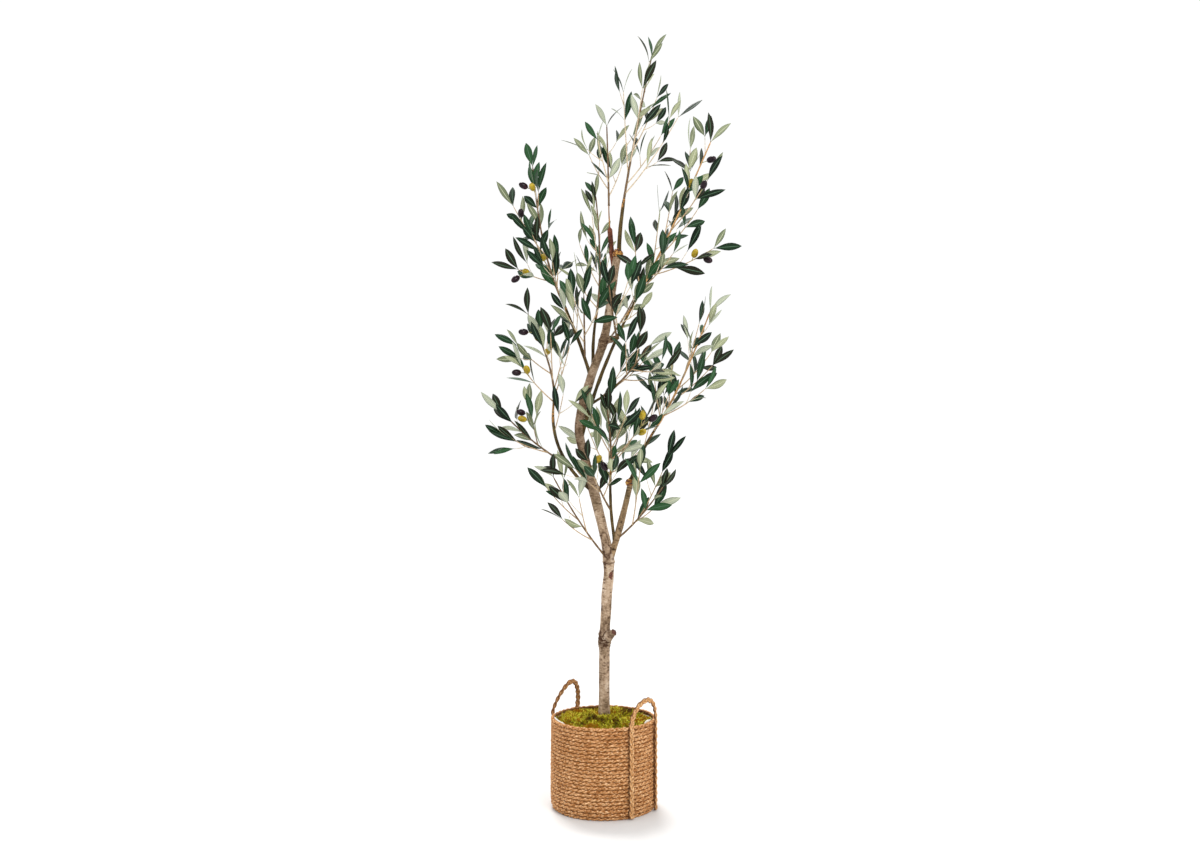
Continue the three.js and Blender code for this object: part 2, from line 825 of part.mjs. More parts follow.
// A skin is the list of corners and faces of one mass; each shoot and leaf is drawn out of a facet of it
class Skin {
  constructor() {
    this.corners = [];
    this.faces = [];
  }

  add(corner) {
    return this.corners.push(corner) - 1;
  }

  // Two faces across four corners that need not be level, folded so that the fold stands out
  addQuad(a, b, c, d) {
    const [first, second, third, fourth] = [a, b, c, d].map((index) => this.corners[index]);
    const normal = second.clone().sub(first).cross(third.clone().sub(first));
    if (normal.dot(fourth.clone().sub(first)) <= 0) this.faces.push([a, b, c], [a, c, d]);
    else this.faces.push([a, b, d], [b, c, d]);
  }

  addRing(laid, share) {
    const { side, front } = squareTo(laid.curve.getTangent(share));
    const radius = twigRadius(laid)(share);
    return Array.from({ length: twig.sides }, (_, k) => {
      const turn = facetTurn(laid, share, k - 0.5);
      const corner = laid.curve.getPoint(share).addScaledVector(side, Math.cos(turn) * radius);
      return this.add(corner.addScaledVector(front, Math.sin(turn) * radius));
    });
  }

  // The share of a shoot at which its ring stands clear of the plane of the facet it comes from
  neckShare(laid, facetRing) {
    const [first, second, third] = facetRing.map((index) => this.corners[index]);
    const plane = new THREE.Plane().setFromCoplanarPoints(first, third, second);
    const step = 2 / laid.length;
    for (let share = step; share < 0.5; share += step) {
      const place = laid.curve.getPoint(share);
      if (plane.distanceToPoint(place) > twigRadius(laid)(share) + 0.5) return share;
    }
    return 0.5;
  }

  // Where a twig has rings: at its foot, forks, leaves, fruit and tip, and along its bare foot
  ringShares(laid, facetRing) {
    const stations = [
      ...laid.leaves.map((made) => made.share),
      ...laid.fruit.map((made) => made.at),
      ...laid.forks.map((fork) => fork.at),
    ];
    const nodes = [...new Set(stations)].sort((a, b) => a - b);
    const start = facetRing ? this.neckShare(laid, facetRing) : 0;
    const later = nodes.filter((share) => share > start + 3 / laid.length);
    const firstNode = later.length ? later[0] : 1;
    const plain = Math.ceil(((firstNode - start) * laid.length) / twig.ringGap);
    const plainShares = Array.from({ length: plain }, (_, i) => start + ((firstNode - start) * i) / plain);
    return [...(facetRing ? [0] : []), ...plainShares, ...later, 1];
  }

  addTwig(laid, facetRing) {
    const shares = this.ringShares(laid, facetRing);
    const rings = shares.map((share, i) => (i === 0 && facetRing ? facetRing : this.addRing(laid, share)));
    for (let i = 0; i + 1 < rings.length; i += 1) {
      for (let k = 0; k < twig.sides; k += 1) {
        const next = (k + 1) % twig.sides;
        const facet = [rings[i][k], rings[i + 1][k], rings[i + 1][next], rings[i][next]];
        const fork = laid.forks.find((one) => one.at === shares[i] && one.facet === k);
        const made = laid.leaves.find((one) => one.share === shares[i] && one.facet === k);
        if (fork) this.addTwig(fork.child, this.openFacet(facet, twig.forkHeight));
        else if (made) this.addLeaf(made, this.openFacet(facet, leaf.rootHeight));
        else this.addQuad(...facet);
      }
    }
    if (!facetRing) this.faces.push(rings[0]);
    this.faces.push([...rings[rings.length - 1]].reverse());
  }

  // Closes a facet round a three-cornered opening at its foot, and returns the opening's corners
  openFacet([right, highRight, highLeft, left], height) {
    const low = this.corners[right].clone().add(this.corners[left]).multiplyScalar(0.5);
    const high = this.corners[highRight].clone().add(this.corners[highLeft]).multiplyScalar(0.5);
    const top = this.add(low.lerp(high, height / low.distanceTo(high)));
    this.faces.push([right, highRight, top], [highRight, highLeft, top], [highLeft, left, top]);
    return [left, top, right];
  }

  addLeaf(made, [left, top, right]) {
    const stripe = (share) => [
      this.add(leafPoint(made, share, -made.width / 2)),
      this.add(leafPoint(made, share).addScaledVector(made.face, leaf.thickness)),
      this.add(leafPoint(made, share, made.width / 2)),
    ];
    const point = this.add(leafPoint(made, 1));
    const rings = [[right, top, left], ...leaf.shoulders.map(stripe)];
    for (let j = 0; j < 3; j += 1) {
      const next = (j + 1) % 3;
      for (let i = 0; i + 1 < rings.length; i += 1) {
        this.addQuad(rings[i][j], rings[i][next], rings[i + 1][next], rings[i + 1][j]);
      }
      this.faces.push([rings[2][j], rings[2][next], point]);
    }
  }

  solid() {
    const geometry = new THREE.BufferGeometry().setFromPoints(this.corners);
    geometry.setIndex(this.faces.flat());
    return solidOf(geometry);
  }
}

// An olive hangs at its place in front of the twig that passes nearest, on a stalk from a little further down
function layOlive(twigs, [across, height], taken) {
  let nearest = { gap: Infinity };
  for (const laid of twigs) {
    for (let share = 0.2; share < 0.97; share += 0.01) {
      const place = laid.curve.getPoint(share);
      const gap = Math.hypot(place.x - across, place.z - height);
      if (gap < nearest.gap) nearest = { gap, laid, share };
    }
  }
  const { laid, share } = nearest;
  const at = freeShare(laid, Math.max(0.15, share - olive.stalkSlant / laid.length), olive.nodeHeight);
  const root = laid.curve.getPoint(at);
  for (const forward of olive.forward) {
    const hang = new THREE.Vector3(across, root.y - forward, height).sub(root);
    const stalk = Math.max(5, hang.length() - olive.length / 2);
    const made = { at, root, hang: hang.normalize(), stalk };
    const segment = oliveSegment(made, laid);
    if (!hasRoom([segment], taken)) continue;
    taken.push(segment);
    laid.fruit.push(made);
    return [made];
  }
  return [];
}

function oliveSegment(made, laid) {
  const near = made.stalk + olive.width * 0.4;
  const far = made.stalk + olive.length - olive.width * 0.4;
  const [start, end] = [near, far].map((reach) => made.root.clone().addScaledVector(made.hang, reach));
  return { start, end, radius: olive.width / 2, twigOf: made, growsOn: laid, pair: made.root.x };
}

// A stalk and its fruit turned as one piece, from the middle of the twig to the olive's far end
function oliveSolid({ root, hang, stalk }) {
  const profile = [new THREE.Vector2(0, 0), new THREE.Vector2(olive.stalkRadius, 0)];
  for (const angle of olive.rings) {
    const radius = (Math.sin(angle) * olive.width) / 2;
    const reach = stalk + (1 - Math.cos(angle)) * (olive.length / 2);
    profile.push(new THREE.Vector2(Math.max(radius, olive.stalkRadius), reach));
  }
  profile.push(new THREE.Vector2(0, stalk + olive.length));
  const turn = new THREE.Quaternion().setFromUnitVectors(new THREE.Vector3(0, 1, 0), hang);
  const fruit = weld(new THREE.LatheGeometry(profile, olive.sides));
  return solidOf(fruit.applyQuaternion(turn).translate(root.x, root.y, root.z));
}

function growMasses() {
  const streams = masses.map((_, i) => seededRandom(firstSeed + i * 97));
  const taken = limbSegments();
  const twigs = masses.map((mass, i) => layTwigs(mass, streams[i], taken));
  return masses.map((mass, i) => {
    const fruit = mass.olives.flatMap((wanted) => layOlive(twigs[i], wanted, taken)).map(oliveSolid);
    twigs[i].forEach((laid) => layLeaves(laid, streams[i], taken));
    const skin = new Skin();
    skin.addTwig(twigs[i][0]);
    const grown = wasm.Manifold.union([skin.solid(), ...fruit]);
    return [mass.name, mass.height === undefined ? grown : seated(grown, limbs.get(mass.limb))];
  });
}

// Finishes
const rope = new THREE.MeshStandardMaterial({ color: 0xbd9060, roughness: 0.85, metalness: 0 });
const plait = new THREE.MeshStandardMaterial({ color: 0xb98452, roughness: 0.85, metalness: 0 });
const mossGreen = new THREE.MeshStandardMaterial({ color: 0x7d8232, roughness: 1, metalness: 0 });
const bark = new THREE.MeshStandardMaterial({ color: 0xa4937f, roughness: 0.8, metalness: 0 });
const wrap = new THREE.MeshStandardMaterial({ color: 0x6e5a38, roughness: 0.65, metalness: 0 });
const foliage = new THREE.MeshStandardMaterial({ color: 0x4b6a55, roughness: 0.55, metalness: 0 });

const tree = new THREE.Group();
tree.name = "olive_tree_in_basket";

function place(name, geometry, material) {
  const mesh = new THREE.Mesh(geometry, material);
  mesh.name = name;
  tree.add(mesh);
}

place("basket", basketGeometry(), rope);
handles.forEach((made) => place(made.name, handleGeometry(made), plait));
place("moss", mossGeometry(), mossGreen);
addTrunk();
boughs.forEach(addBough);
for (const [name, limb] of limbs) {
  const woody = name === "trunk" || name === "right_stem";
  place(name, geometryOf(limb.solid), woody ? bark : wrap);
}
growMasses().forEach(([name, solid]) => place(name, geometryOf(solid), foliage));

export default tree;
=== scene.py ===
import json
import math

import bpy
import numpy as np
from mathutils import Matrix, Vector

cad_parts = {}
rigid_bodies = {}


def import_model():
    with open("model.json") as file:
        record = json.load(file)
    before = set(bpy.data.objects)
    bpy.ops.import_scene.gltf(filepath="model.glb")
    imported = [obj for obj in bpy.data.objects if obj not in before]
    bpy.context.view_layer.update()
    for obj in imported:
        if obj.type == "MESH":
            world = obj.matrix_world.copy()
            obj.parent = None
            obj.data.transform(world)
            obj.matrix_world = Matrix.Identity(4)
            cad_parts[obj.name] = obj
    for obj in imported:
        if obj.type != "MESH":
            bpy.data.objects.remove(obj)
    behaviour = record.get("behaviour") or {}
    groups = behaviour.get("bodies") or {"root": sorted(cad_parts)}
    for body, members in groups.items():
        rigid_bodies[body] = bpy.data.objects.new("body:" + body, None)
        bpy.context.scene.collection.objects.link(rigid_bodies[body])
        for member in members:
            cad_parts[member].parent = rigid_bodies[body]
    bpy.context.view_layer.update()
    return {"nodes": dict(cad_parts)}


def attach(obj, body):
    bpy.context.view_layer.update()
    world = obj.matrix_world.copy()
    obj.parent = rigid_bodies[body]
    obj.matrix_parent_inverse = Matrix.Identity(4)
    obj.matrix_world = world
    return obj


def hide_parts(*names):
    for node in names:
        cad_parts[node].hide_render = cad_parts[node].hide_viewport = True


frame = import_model()

mm = 0.001  # sizes below are in millimetres, in the part's own frame
up = np.array([0.0, 0.0, 1.0])
flatten = (1, 1, 0)  # takes the height out of a vector
tiny = 1e-9  # keeps a division from zero
print("frame loaded:", len(frame["nodes"]), "nodes")


# Camera, light and floor

view = {"place": (-8.3, -3000, 905), "lens": 37.8, "sensor": 36, "clipEnd": 100}  # the last in metres
lamps = {  # a lamp with a spread, in degrees, is a sun
    "key": {"place": (1300, -2400, 2300), "size": 1500, "power": 39, "tint": (1, 0.98, 0.95)},
    "side": {"place": (-2600, 500, 700), "size": 1400, "power": 5, "tint": (1, 0.98, 0.94)},
    "sun": {"place": (-360, 1330, 3300), "spread": 20, "power": 2.1, "tint": (1, 0.99, 0.97)},
}
studio = {
    "aim": (0, 0, 880),  # what the lamps point at
    "sky": (1, 1, 1),
    "skyPower": 0.98,
    "floorSize": 60000,
    "floorTint": 0.69,
    "floorRoughness": 0.9,
    "exposure": 0.06,
}


def setCamera(scene):
    lens = bpy.data.cameras.new("frontCamera")
    lens.lens = view["lens"]
    lens.sensor_width = view["sensor"]
    lens.clip_end = view["clipEnd"]
    camera = bpy.data.objects.new("frontCamera", lens)
    camera.location = Vector(view["place"]) * mm
    camera.rotation_euler = (math.pi / 2, 0, 0)
    scene.collection.objects.link(camera)
    scene.camera = camera


def setLamps(scene):
    for name, lamp in lamps.items():
        isSun = "spread" in lamp
        data = bpy.data.lights.new(name + "Lamp", "SUN" if isSun else "AREA")
        if isSun:
            data.angle = math.radians(lamp["spread"])
        else:
            data.size = lamp["size"] * mm
        data.energy = lamp["power"]
        data.color = lamp["tint"]
        light = bpy.data.objects.new(name + "Lamp", data)
        light.location = Vector(lamp["place"]) * mm
        towards = Vector(studio["aim"]) * mm - light.location
        light.rotation_euler = towards.to_track_quat("-Z", "Y").to_euler()
        scene.collection.objects.link(light)


def setSky(scene):
    world = bpy.data.worlds.new("studio")
    world.use_nodes = True
    background = world.node_tree.nodes["Background"]
    background.inputs["Color"].default_value = (*studio["sky"], 1)
    background.inputs["Strength"].default_value = studio["skyPower"]
    scene.world = world
    scene.view_settings.view_transform = "Standard"
    scene.view_settings.exposure = studio["exposure"]


def setFloor(scene):
    half = studio["floorSize"] / 2 * mm
    corners = [(-half, -half, 0), (half, -half, 0), (half, half, 0), (-half, half, 0)]
    mesh = bpy.data.meshes.new("floor")
    mesh.from_pydata(corners, [], [(0, 1, 2, 3)])
    floor = bpy.data.objects.new("floor", mesh)
    scene.collection.objects.link(floor)
    paper = bpy.data.materials.new("paleFloor")
    paper.use_nodes = True
    shader = paper.node_tree.nodes["Principled BSDF"]
    shader.inputs["Base Color"].default_value = (*[studio["floorTint"]] * 3, 1)
    shader.inputs["Roughness"].default_value = studio["floorRoughness"]
    mesh.materials.append(paper)


for setPart in (setCamera, setLamps, setSky, setFloor):
    setPart(bpy.context.scene)
print("camera, lamps and floor set")


# Shader sums: a Wire is a socket, and sums on it add the Math or Vector Math nodes

class Wire:
    def __init__(self, finish, socket):
        self.finish = finish
        self.socket = socket

    def sum(self, operation, other, turned=False):
        pair = (other, self) if turned else (self, other)
        kind = "ShaderNodeVectorMath" if self.socket.type == "VECTOR" else "ShaderNodeMath"
        return self.finish.node(kind, {"operation": operation}, {0: pair[0], 1: pair[1]})

    def __add__(self, other):
        return self.sum("ADD", other)

    def __sub__(self, other):
        return self.sum("SUBTRACT", other)

    def __rsub__(self, other):
        return self.sum("SUBTRACT", other, True)

    def __mul__(self, other):
        return self.sum("MULTIPLY", other)

    __radd__ = __add__
    __rmul__ = __mul__


class Finish:
    def __init__(self, name, **fixed):
        self.material = bpy.data.materials.new(name)
        self.material.use_nodes = True
        self.tree = self.material.node_tree
        self.shader = self.tree.nodes["Principled BSDF"]
        for socket, value in fixed.items():
            self.set(socket, value)

    # one node from its type, its settings (set first) and what its sockets take
    def node(self, kind, settings=None, inputs=None, output=0):
        made = self.tree.nodes.new(kind)
        for name, value in (settings or {}).items():
            if name == "stops":
                self.fillRamp(made.color_ramp, value)
            else:
                setattr(made, name, value)
        for name, value in (inputs or {}).items():
            self.feed(made.inputs[name], value)
        return Wire(self, made.outputs[output])

    def fillRamp(self, ramp, stops):
        while len(ramp.elements) < len(stops):
            ramp.elements.new(1)
        for element, (place, tint) in zip(ramp.elements, stops):
            element.position = place
            element.color = tint

    def feed(self, socket, value):
        if isinstance(value, Wire):
            self.tree.links.new(value.socket, socket)
        else:
            socket.default_value = value

    def set(self, socket, value):
        self.feed(self.shader.inputs[socket.replace("_", " ")], value)

    def place(self):
        return self.node("ShaderNodeTexCoord", output=3)  # object coordinates

    def noise(self, place, scale, detail=3, roughness=0.5):
        inputs = {"Vector": place, "Scale": scale, "Detail": detail, "Roughness": roughness}
        return self.node("ShaderNodeTexNoise", None, inputs)

    def ramp(self, value, stops):
        return self.node("ShaderNodeValToRGB", {"stops": stops}, {"Fac": value})

    # a ramp through colour codes at the given places
    def shades(self, value, places, codes):
        return self.ramp(value, [(place, paint(code)) for place, code in zip(places, codes)])

    # sockets by number, because this node has the same names for every type of value
    def mix(self, share, first, second, blend="MIX"):
        settings = {"data_type": "RGBA", "blend_type": blend}
        return self.node("ShaderNodeMix", settings, {0: share, 6: first, 7: second}, 2)

    # 0 below the low height, 1 above the high one
    def rise(self, place, low, high):
        height = self.node("ShaderNodeSeparateXYZ", None, {0: place}, 2)
        span = {"From Min": low * mm, "From Max": high * mm}
        return self.node("ShaderNodeMapRange", None, {"Value": height, **span})

    def attribute(self, name):
        return self.node("ShaderNodeAttribute", {"attribute_name": name}, None, 2)  # as one number

    def bump(self, height, depth, strength):
        inputs = {"Height": height, "Distance": depth * mm, "Strength": strength}
        self.set("Normal", self.node("ShaderNodeBump", None, inputs))

    # four tints mixed by a broad and a fine noise, and the fine noise by itself
    def mottle(self, place, look, codes):
        layers = []
        for layer in (look["broad"], look["fine"]):
            stretched = place * layer["stretch"] if "stretch" in layer else place
            layers.append(self.noise(stretched, layer["scale"], 4, layer["roughness"]))
        broad, fine = layers
        mixed = broad * look["broad"]["share"] + fine * look["fine"]["share"]
        return self.shades(mixed, look["stops"], codes), fine


# a colour as it is mixed on screen, turned into the linear values that shaders take
def paint(code):
    parts = [int(code[i:i + 2], 16) / 255 for i in (0, 2, 4)]
    linear = [part / 12.92 if part < 0.04045 else ((part + 0.055) / 1.055) ** 2.4 for part in parts]
    return (*linear, 1)


def plainFinish(name, code, **fixed):
    return Finish(name, Base_Color=paint(code), **fixed)


def plainFinishes(name, codes, **fixed):
    return [plainFinish(name + str(i), code, **fixed) for i, code in enumerate(codes)]


# tints mixed by one noise, which may also be a bump
def cloudFinish(name, look, **fixed):
    made = Finish(name, **fixed)
    cloud = made.noise(made.place(), *look["noise"])
    made.set("Base Color", made.shades(cloud, look["stops"], look["tints"]))
    if "bump" in look:
        made.bump(cloud, *look["bump"])
    return made


# Meshes: rings of corners skinned into closed bars, gathered in heaps that become pieces

def unit(vectors):
    return vectors / np.linalg.norm(vectors, axis=-1, keepdims=True)


# even angles round a circle
def turns(sides):
    return np.arange(sides) * 2 * math.pi / sides


# two directions square to each tangent
def squareTo(tangent):
    isDeep = np.abs(tangent[..., 1:2]) > 0.97  # nearly front to back
    reference = np.where(isDeep, [1.0, 0, 0], [0, 1.0, 0])
    side = unit(np.cross(tangent, reference))
    return side, np.cross(side, tangent)


# directions square to each tangent, at the given angles round it
def spokes(tangent, turn):
    side, front = squareTo(tangent)
    return np.cos(turn)[:, None] * side[:, None] + np.sin(turn)[:, None] * front[:, None]


# closes a grid of rings (rings, corners, 3); a loop joins its last ring to its first
def skin(rings, loop=False):
    count, sides = rings.shape[:2]
    points = rings.reshape(-1, 3)
    ring = np.arange(count if loop else count - 1)[:, None]
    corner = np.arange(sides)[None, :]
    here, ahead = ring * sides, (ring + 1) % count * sides
    beside = (corner + 1) % sides
    quads = np.stack([here + corner, ahead + corner, ahead + beside, here + beside], -1)
    blocks = [quads.reshape(-1, 4)]
    if not loop:
        points = np.concatenate([points, rings[0].mean(0)[None], rings[-1].mean(0)[None]])
        corner, beside = corner[0], beside[0]
        foot = np.stack([np.full(sides, len(points) - 2), corner, beside], -1)
        last = (count - 1) * sides
        tip = np.stack([np.full(sides, len(points) - 1), last + beside, last + corner], -1)
        blocks += [foot, tip]
    return points, blocks


# radii are one to a ring, or one to a corner
def ringsAlong(path, radii, sides, tangent):
    radii = radii[:, None] if radii.ndim == 1 else radii
    return path[:, None] + radii[..., None] * spokes(tangent, turns(sides))


class Heap:
    def __init__(self):
        self.points = []
        self.faces = []
        self.tints = []
        self.marks = []
        self.count = 0

    def add(self, points, blocks, tints=0, mark=0.0):
        tints = tints if isinstance(tints, list) else [tints] * len(blocks)
        for block, tint in zip(blocks, tints):
            self.faces.append(np.asarray(block) + self.count)
            self.tints.append(np.broadcast_to(tint, len(block)))
        self.points.append(points)
        self.marks.append(np.broadcast_to(mark, len(points)))
        self.count += len(points)

    # new tints for the sides of the bar added last, whose blocks are its sides, foot and tip
    def repaintSides(self, tints):
        self.tints[-3] = tints

    # one piece that rides with the plant; marks become a value that a finish can read
    def piece(self, name, finishes, slot, nodes=(), mark=None):
        mesh = bpy.data.meshes.new(name)
        points = np.concatenate(self.points) * mm
        sizes = np.concatenate([np.full(len(block), block.shape[1]) for block in self.faces])
        corners = np.concatenate([block.ravel() for block in self.faces])
        mesh.vertices.add(len(points))
        mesh.vertices.foreach_set("co", points.astype(np.float32).ravel())
        mesh.loops.add(len(corners))
        mesh.loops.foreach_set("vertex_index", corners.astype(np.int32))
        mesh.polygons.add(len(sizes))
        mesh.polygons.foreach_set("loop_start", (np.cumsum(sizes) - sizes).astype(np.int32))
        mesh.polygons.foreach_set("material_index", np.concatenate(self.tints).astype(np.int32))
        mesh.update(calc_edges=True)
        mesh.validate()
        mesh.shade_smooth()
        if mark:
            layer = mesh.attributes.new(mark, "FLOAT", "POINT")
            layer.data.foreach_set("value", np.concatenate(self.marks).astype(np.float32))
        for finish in finishes:
            mesh.materials.append(finish.material)
        made = bpy.data.objects.new(name, mesh)
        bpy.context.scene.collection.objects.link(made)
        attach(made, "root")
        if nodes:
            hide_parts(*nodes)
        print(name, "made of", int((sizes - 2).sum()), "triangles")


hashing = {"axes": np.array([73856093, 19349663, 83492791]), "seed": 40503, "stir": 1274126177}


# smooth noise from -1 to 1 on a unit lattice
def latticeNoise(points, seed):
    cell = np.floor(points).astype(np.int64)
    share = points - cell
    share = share * share * (3 - 2 * share)
    total = 0
    for corner in range(8):
        step = np.array([corner & 1, corner >> 1 & 1, corner >> 2 & 1])
        weight = np.prod(np.where(step, share, 1 - share), axis=-1)
        key = ((cell + step) * hashing["axes"]).sum(-1) + seed * hashing["seed"]
        key = ((key ^ (key >> 13)) * hashing["stir"]) & 0x7FFFFFFF
        total = total + weight * (((key ^ (key >> 15)) % 65536) / 32767.5 - 1)
    return total


def layeredNoise(points, seed, layers):
    return sum(latticeNoise(points * 2 ** layer, seed + layer) / 2 ** layer for layer in range(layers))


# noise on a pattern of the rule's size, times the rule's height
def rough(points, rule, seed, layers=1):
    size, height = rule
    return height * layeredNoise(points / size, seed, layers)


# from 0 at the start to 1 at the end of a span
def climb(value, start, span):
    return np.clip((value - start) / span, 0, 1)


# 1 at a place, falling off to both sides
def hump(away, width):
    return np.exp(-(away / width) ** 2)


# Limbs: the stick, its fork and the wired boughs, on the part's own curves

stick = {
    "foot": 218.3,
    "bends": [
        (2, 10, 206), (2, 8, 300), (3, 4, 402), (8, 2, 500), (12, 0, 590), (-15, 0, 716),
        (-42, 0, 818), (-58, 0, 906), (-32, 0, 1013), (0, 0, 1104), (17, 0, 1204), (33, 0, 1313),
    ],
    "radii": (13.4, 9.4),
    "flare": 1.4,
    "flareHeight": 25,
    "knots": [
        {"height": 397, "swell": 2.8, "spread": 20, "rough": 1.3, "stub": ((25, -19, 417), 6.3)},
        {"height": 590, "swell": 2.4, "spread": 24, "rough": 0.45},
        {"height": 1104, "swell": 2.2, "spread": 16, "rough": 0.8, "stub": ((36, 14, 1116), 4.2)},
    ],  # a stub has its tip and its radius
    "joints": [(583, 1.0), (1000, 0.4), (470, 0.35), (306, 0.3)],  # height and rise of rings where it bends
    "scar": (0.5, 549, 0.42, 9),  # to the right of the front in radians, height, half width and half height
    "callus": (-0.15, 625, 0.75, 30),  # likewise, a fold of bark under the fork
    "pits": [  # likewise, pits in the bark, darkened by painted shade
        (0.12, 383, 0.5, 3.5), (-0.95, 411, 0.4, 6), (-0.35, 396, 0.45, 2.6), (0.35, 391, 0.3, 3),
        (-0.5, 377, 0.3, 2), (1.0, 359, 0.35, 2), (0.8, 341, 0.4, 1.7), (1.0, 323, 0.35, 2),
        (-0.7, 349, 0.3, 1.6), (-1.0, 300, 0.3, 2.2), (-1.1, 470, 0.3, 7), (0.75, 448, 0.35, 1.8),
        (0.9, 560, 0.3, 2), (-0.8, 530, 0.3, 1.6), (0.2, 436, 0.25, 1.5),
    ],
    "sides": 72,
    "ringGap": 1.7,
    "seatGap": 0.3,
    "besideGap": 1.5,  # seat gaps over the cut for a limb beside its middle
    "onwardShare": 0.35,  # of its length in which a limb keeps the direction of the one before it
}
boughs = {
    "right_stem": {
        "parent": "trunk", "height": 578, "tip": (64, -10, 769), "bow": (2, 0, -4), "radii": (8, 6.6),
    },
    "right_bough": {"parent": "right_stem", "tip": (130, 15, 906), "radii": (4.4, 3.2)},
    "inner_stem": {
        "parent": "right_stem", "height": 624, "tip": (17, -48, 801), "bow": (-5, 8, 0), "radii": (4, 3),
    },
    "left_bough": {
        "parent": "trunk", "height": 745, "tip": (-118, -20, 956), "bow": (-31, 0, -8), "radii": (4.6, 3),
    },
    "upper_left_bough": {
        "parent": "trunk", "height": 1020, "tip": (-104, 15, 1215), "bow": (2, 0, 4), "radii": (4.6, 3),
    },
    "upper_right_bough": {
        "parent": "trunk", "height": 868, "tip": (84, -27, 1216), "bow": (-13, -2, 0), "radii": (4.8, 3),
    },
    "middle_bough": {
        "parent": "upper_right_bough", "height": 957,
        "tip": (38, -62, 1006), "bow": (2, 4, -2), "radii": (3.2, 2.6),
    },
    "back_bough": {
        "parent": "trunk", "height": 1037, "tip": (-17, 47, 1172), "bow": (-4, 2, 0), "radii": (4, 3),
    },
    "leader": {
        "parent": "trunk", "foot": (3.5, -1, 0),
        "tip": (49, 5, 1445), "bow": (-2, 0, 0), "radii": (4.6, 3), "stout": 1.16,
    },
    "leader_side": {
        "parent": "trunk", "height": 1270, "tip": (13, 24, 1432), "bow": (-3, 3, 0), "radii": (3.2, 2.6),
    },
}
samples = {"length": 201, "even": 801, "halvings": 40, "tangent": 1e-4}  # how finely curves are measured


class Arc:
    def __init__(self, foot, control, tip):
        self.foot, self.control, self.tip = foot, control, tip

    def at(self, share):
        share = np.asarray(share, float)[..., None]
        rest = 1 - share
        return rest * rest * self.foot + 2 * share * rest * self.control + share * share * self.tip

    def along(self, share):
        share = np.asarray(share, float)[..., None]
        return unit((1 - share) * (self.control - self.foot) + share * (self.tip - self.control))


class Bends:
    def __init__(self, points):
        points = np.asarray(points, float)
        before = 2 * points[0] - points[1]
        after = 2 * points[-1] - points[-2]
        self.points = np.vstack([before, points, after])

    def at(self, share):
        spans = len(self.points) - 3
        place = np.clip(np.asarray(share, float), 0, 1) * spans
        span = np.minimum(place.astype(int), spans - 1)
        part = (place - span)[..., None]
        before, start, end, after = (self.points[span + i] for i in range(4))
        slopeIn, slopeOut = (end - before) / 2, (after - start) / 2
        bend = -3 * start + 3 * end - 2 * slopeIn - slopeOut
        turn = 2 * start - 2 * end + slopeIn + slopeOut
        return start + slopeIn * part + bend * part * part + turn * part ** 3

    def along(self, share):
        share = np.asarray(share, float)
        step = samples["tangent"]
        return unit(self.at(np.minimum(share + step, 1)) - self.at(np.maximum(share - step, 0)))


def bowed(foot, tip, bow):
    tip = np.asarray(tip, float)
    return Arc(foot, (foot + tip) / 2 + 2 * np.asarray(bow, float), tip)


def onward(foot, tip, direction):
    tip = np.asarray(tip, float)
    return Arc(foot, foot + direction * np.linalg.norm(tip - foot) * stick["onwardShare"], tip)


def stepLengths(path):
    return np.linalg.norm(np.diff(path, axis=0), axis=1)


# distance of each point of a path from its first
def reachAlong(path):
    return np.concatenate([[0], np.cumsum(stepLengths(path))])


# shares of a curve that lie a near even distance apart, with their distances from its foot
def evenShares(curve, gap):
    fine = np.linspace(0, 1, samples["even"])
    reach = reachAlong(curve.at(fine))
    steps = max(2, int(math.ceil(reach[-1] / gap)))
    wanted = np.linspace(0, reach[-1], steps + 1)
    return np.interp(wanted, reach, fine), wanted


def shareAtHeight(curve, height):
    low, high = 0.0, 1.0
    for _ in range(samples["halvings"]):
        middle = (low + high) / 2
        if curve.at(middle)[2] < height:
            low = middle
        else:
            high = middle
    return (low + high) / 2


def stickRadius(share, height):
    taper = stick["radii"][0] + (stick["radii"][1] - stick["radii"][0]) * share
    flare = stick["flare"] * np.exp((stick["foot"] - height) / stick["flareHeight"])
    swells = [knot["swell"] * hump(height - knot["height"], knot["spread"]) for knot in stick["knots"]]
    return taper + flare + sum(swells)


def taperBetween(first, last):
    return lambda share: first + (last - first) * np.asarray(share, float)


# a limb starts at its parent's tip, clear of the cut, or inside the parent at a height
def limbFoot(parent, rule):
    if "height" in rule:
        return parent["curve"].at(shareAtHeight(parent["curve"], rule["height"]))
    end = parent["curve"].at(1)
    if "foot" in rule:
        return end + np.asarray(rule["foot"], float) + up * stick["seatGap"] * stick["besideGap"]
    return end + parent["curve"].along(1) * stick["seatGap"]


def layTrunk():
    curve = Bends(stick["bends"])
    stubs = []
    for knot in stick["knots"]:
        if "stub" in knot:
            tip, radius = knot["stub"]
            foot = curve.at(shareAtHeight(curve, knot["height"]))
            stubs.append({"foot": foot, "tip": np.array(tip, float), "radius": radius})
    radiusAt = lambda share: stickRadius(share, curve.at(share)[..., 2])
    return {"curve": curve, "stubs": stubs, "radiusAt": radiusAt}


def layLimbs():
    laid = {"trunk": layTrunk()}
    for name, rule in boughs.items():
        parent = laid[rule["parent"]]
        foot = limbFoot(parent, rule)
        if "bow" in rule:
            curve = bowed(foot, rule["tip"], rule["bow"])
        else:
            curve = onward(foot, rule["tip"], parent["curve"].along(1))
        laid[name] = {"curve": curve, "stubs": [], "radiusAt": taperBetween(*rule["radii"])}
    return laid


limbs = layLimbs()
print("limbs laid:", len(limbs))
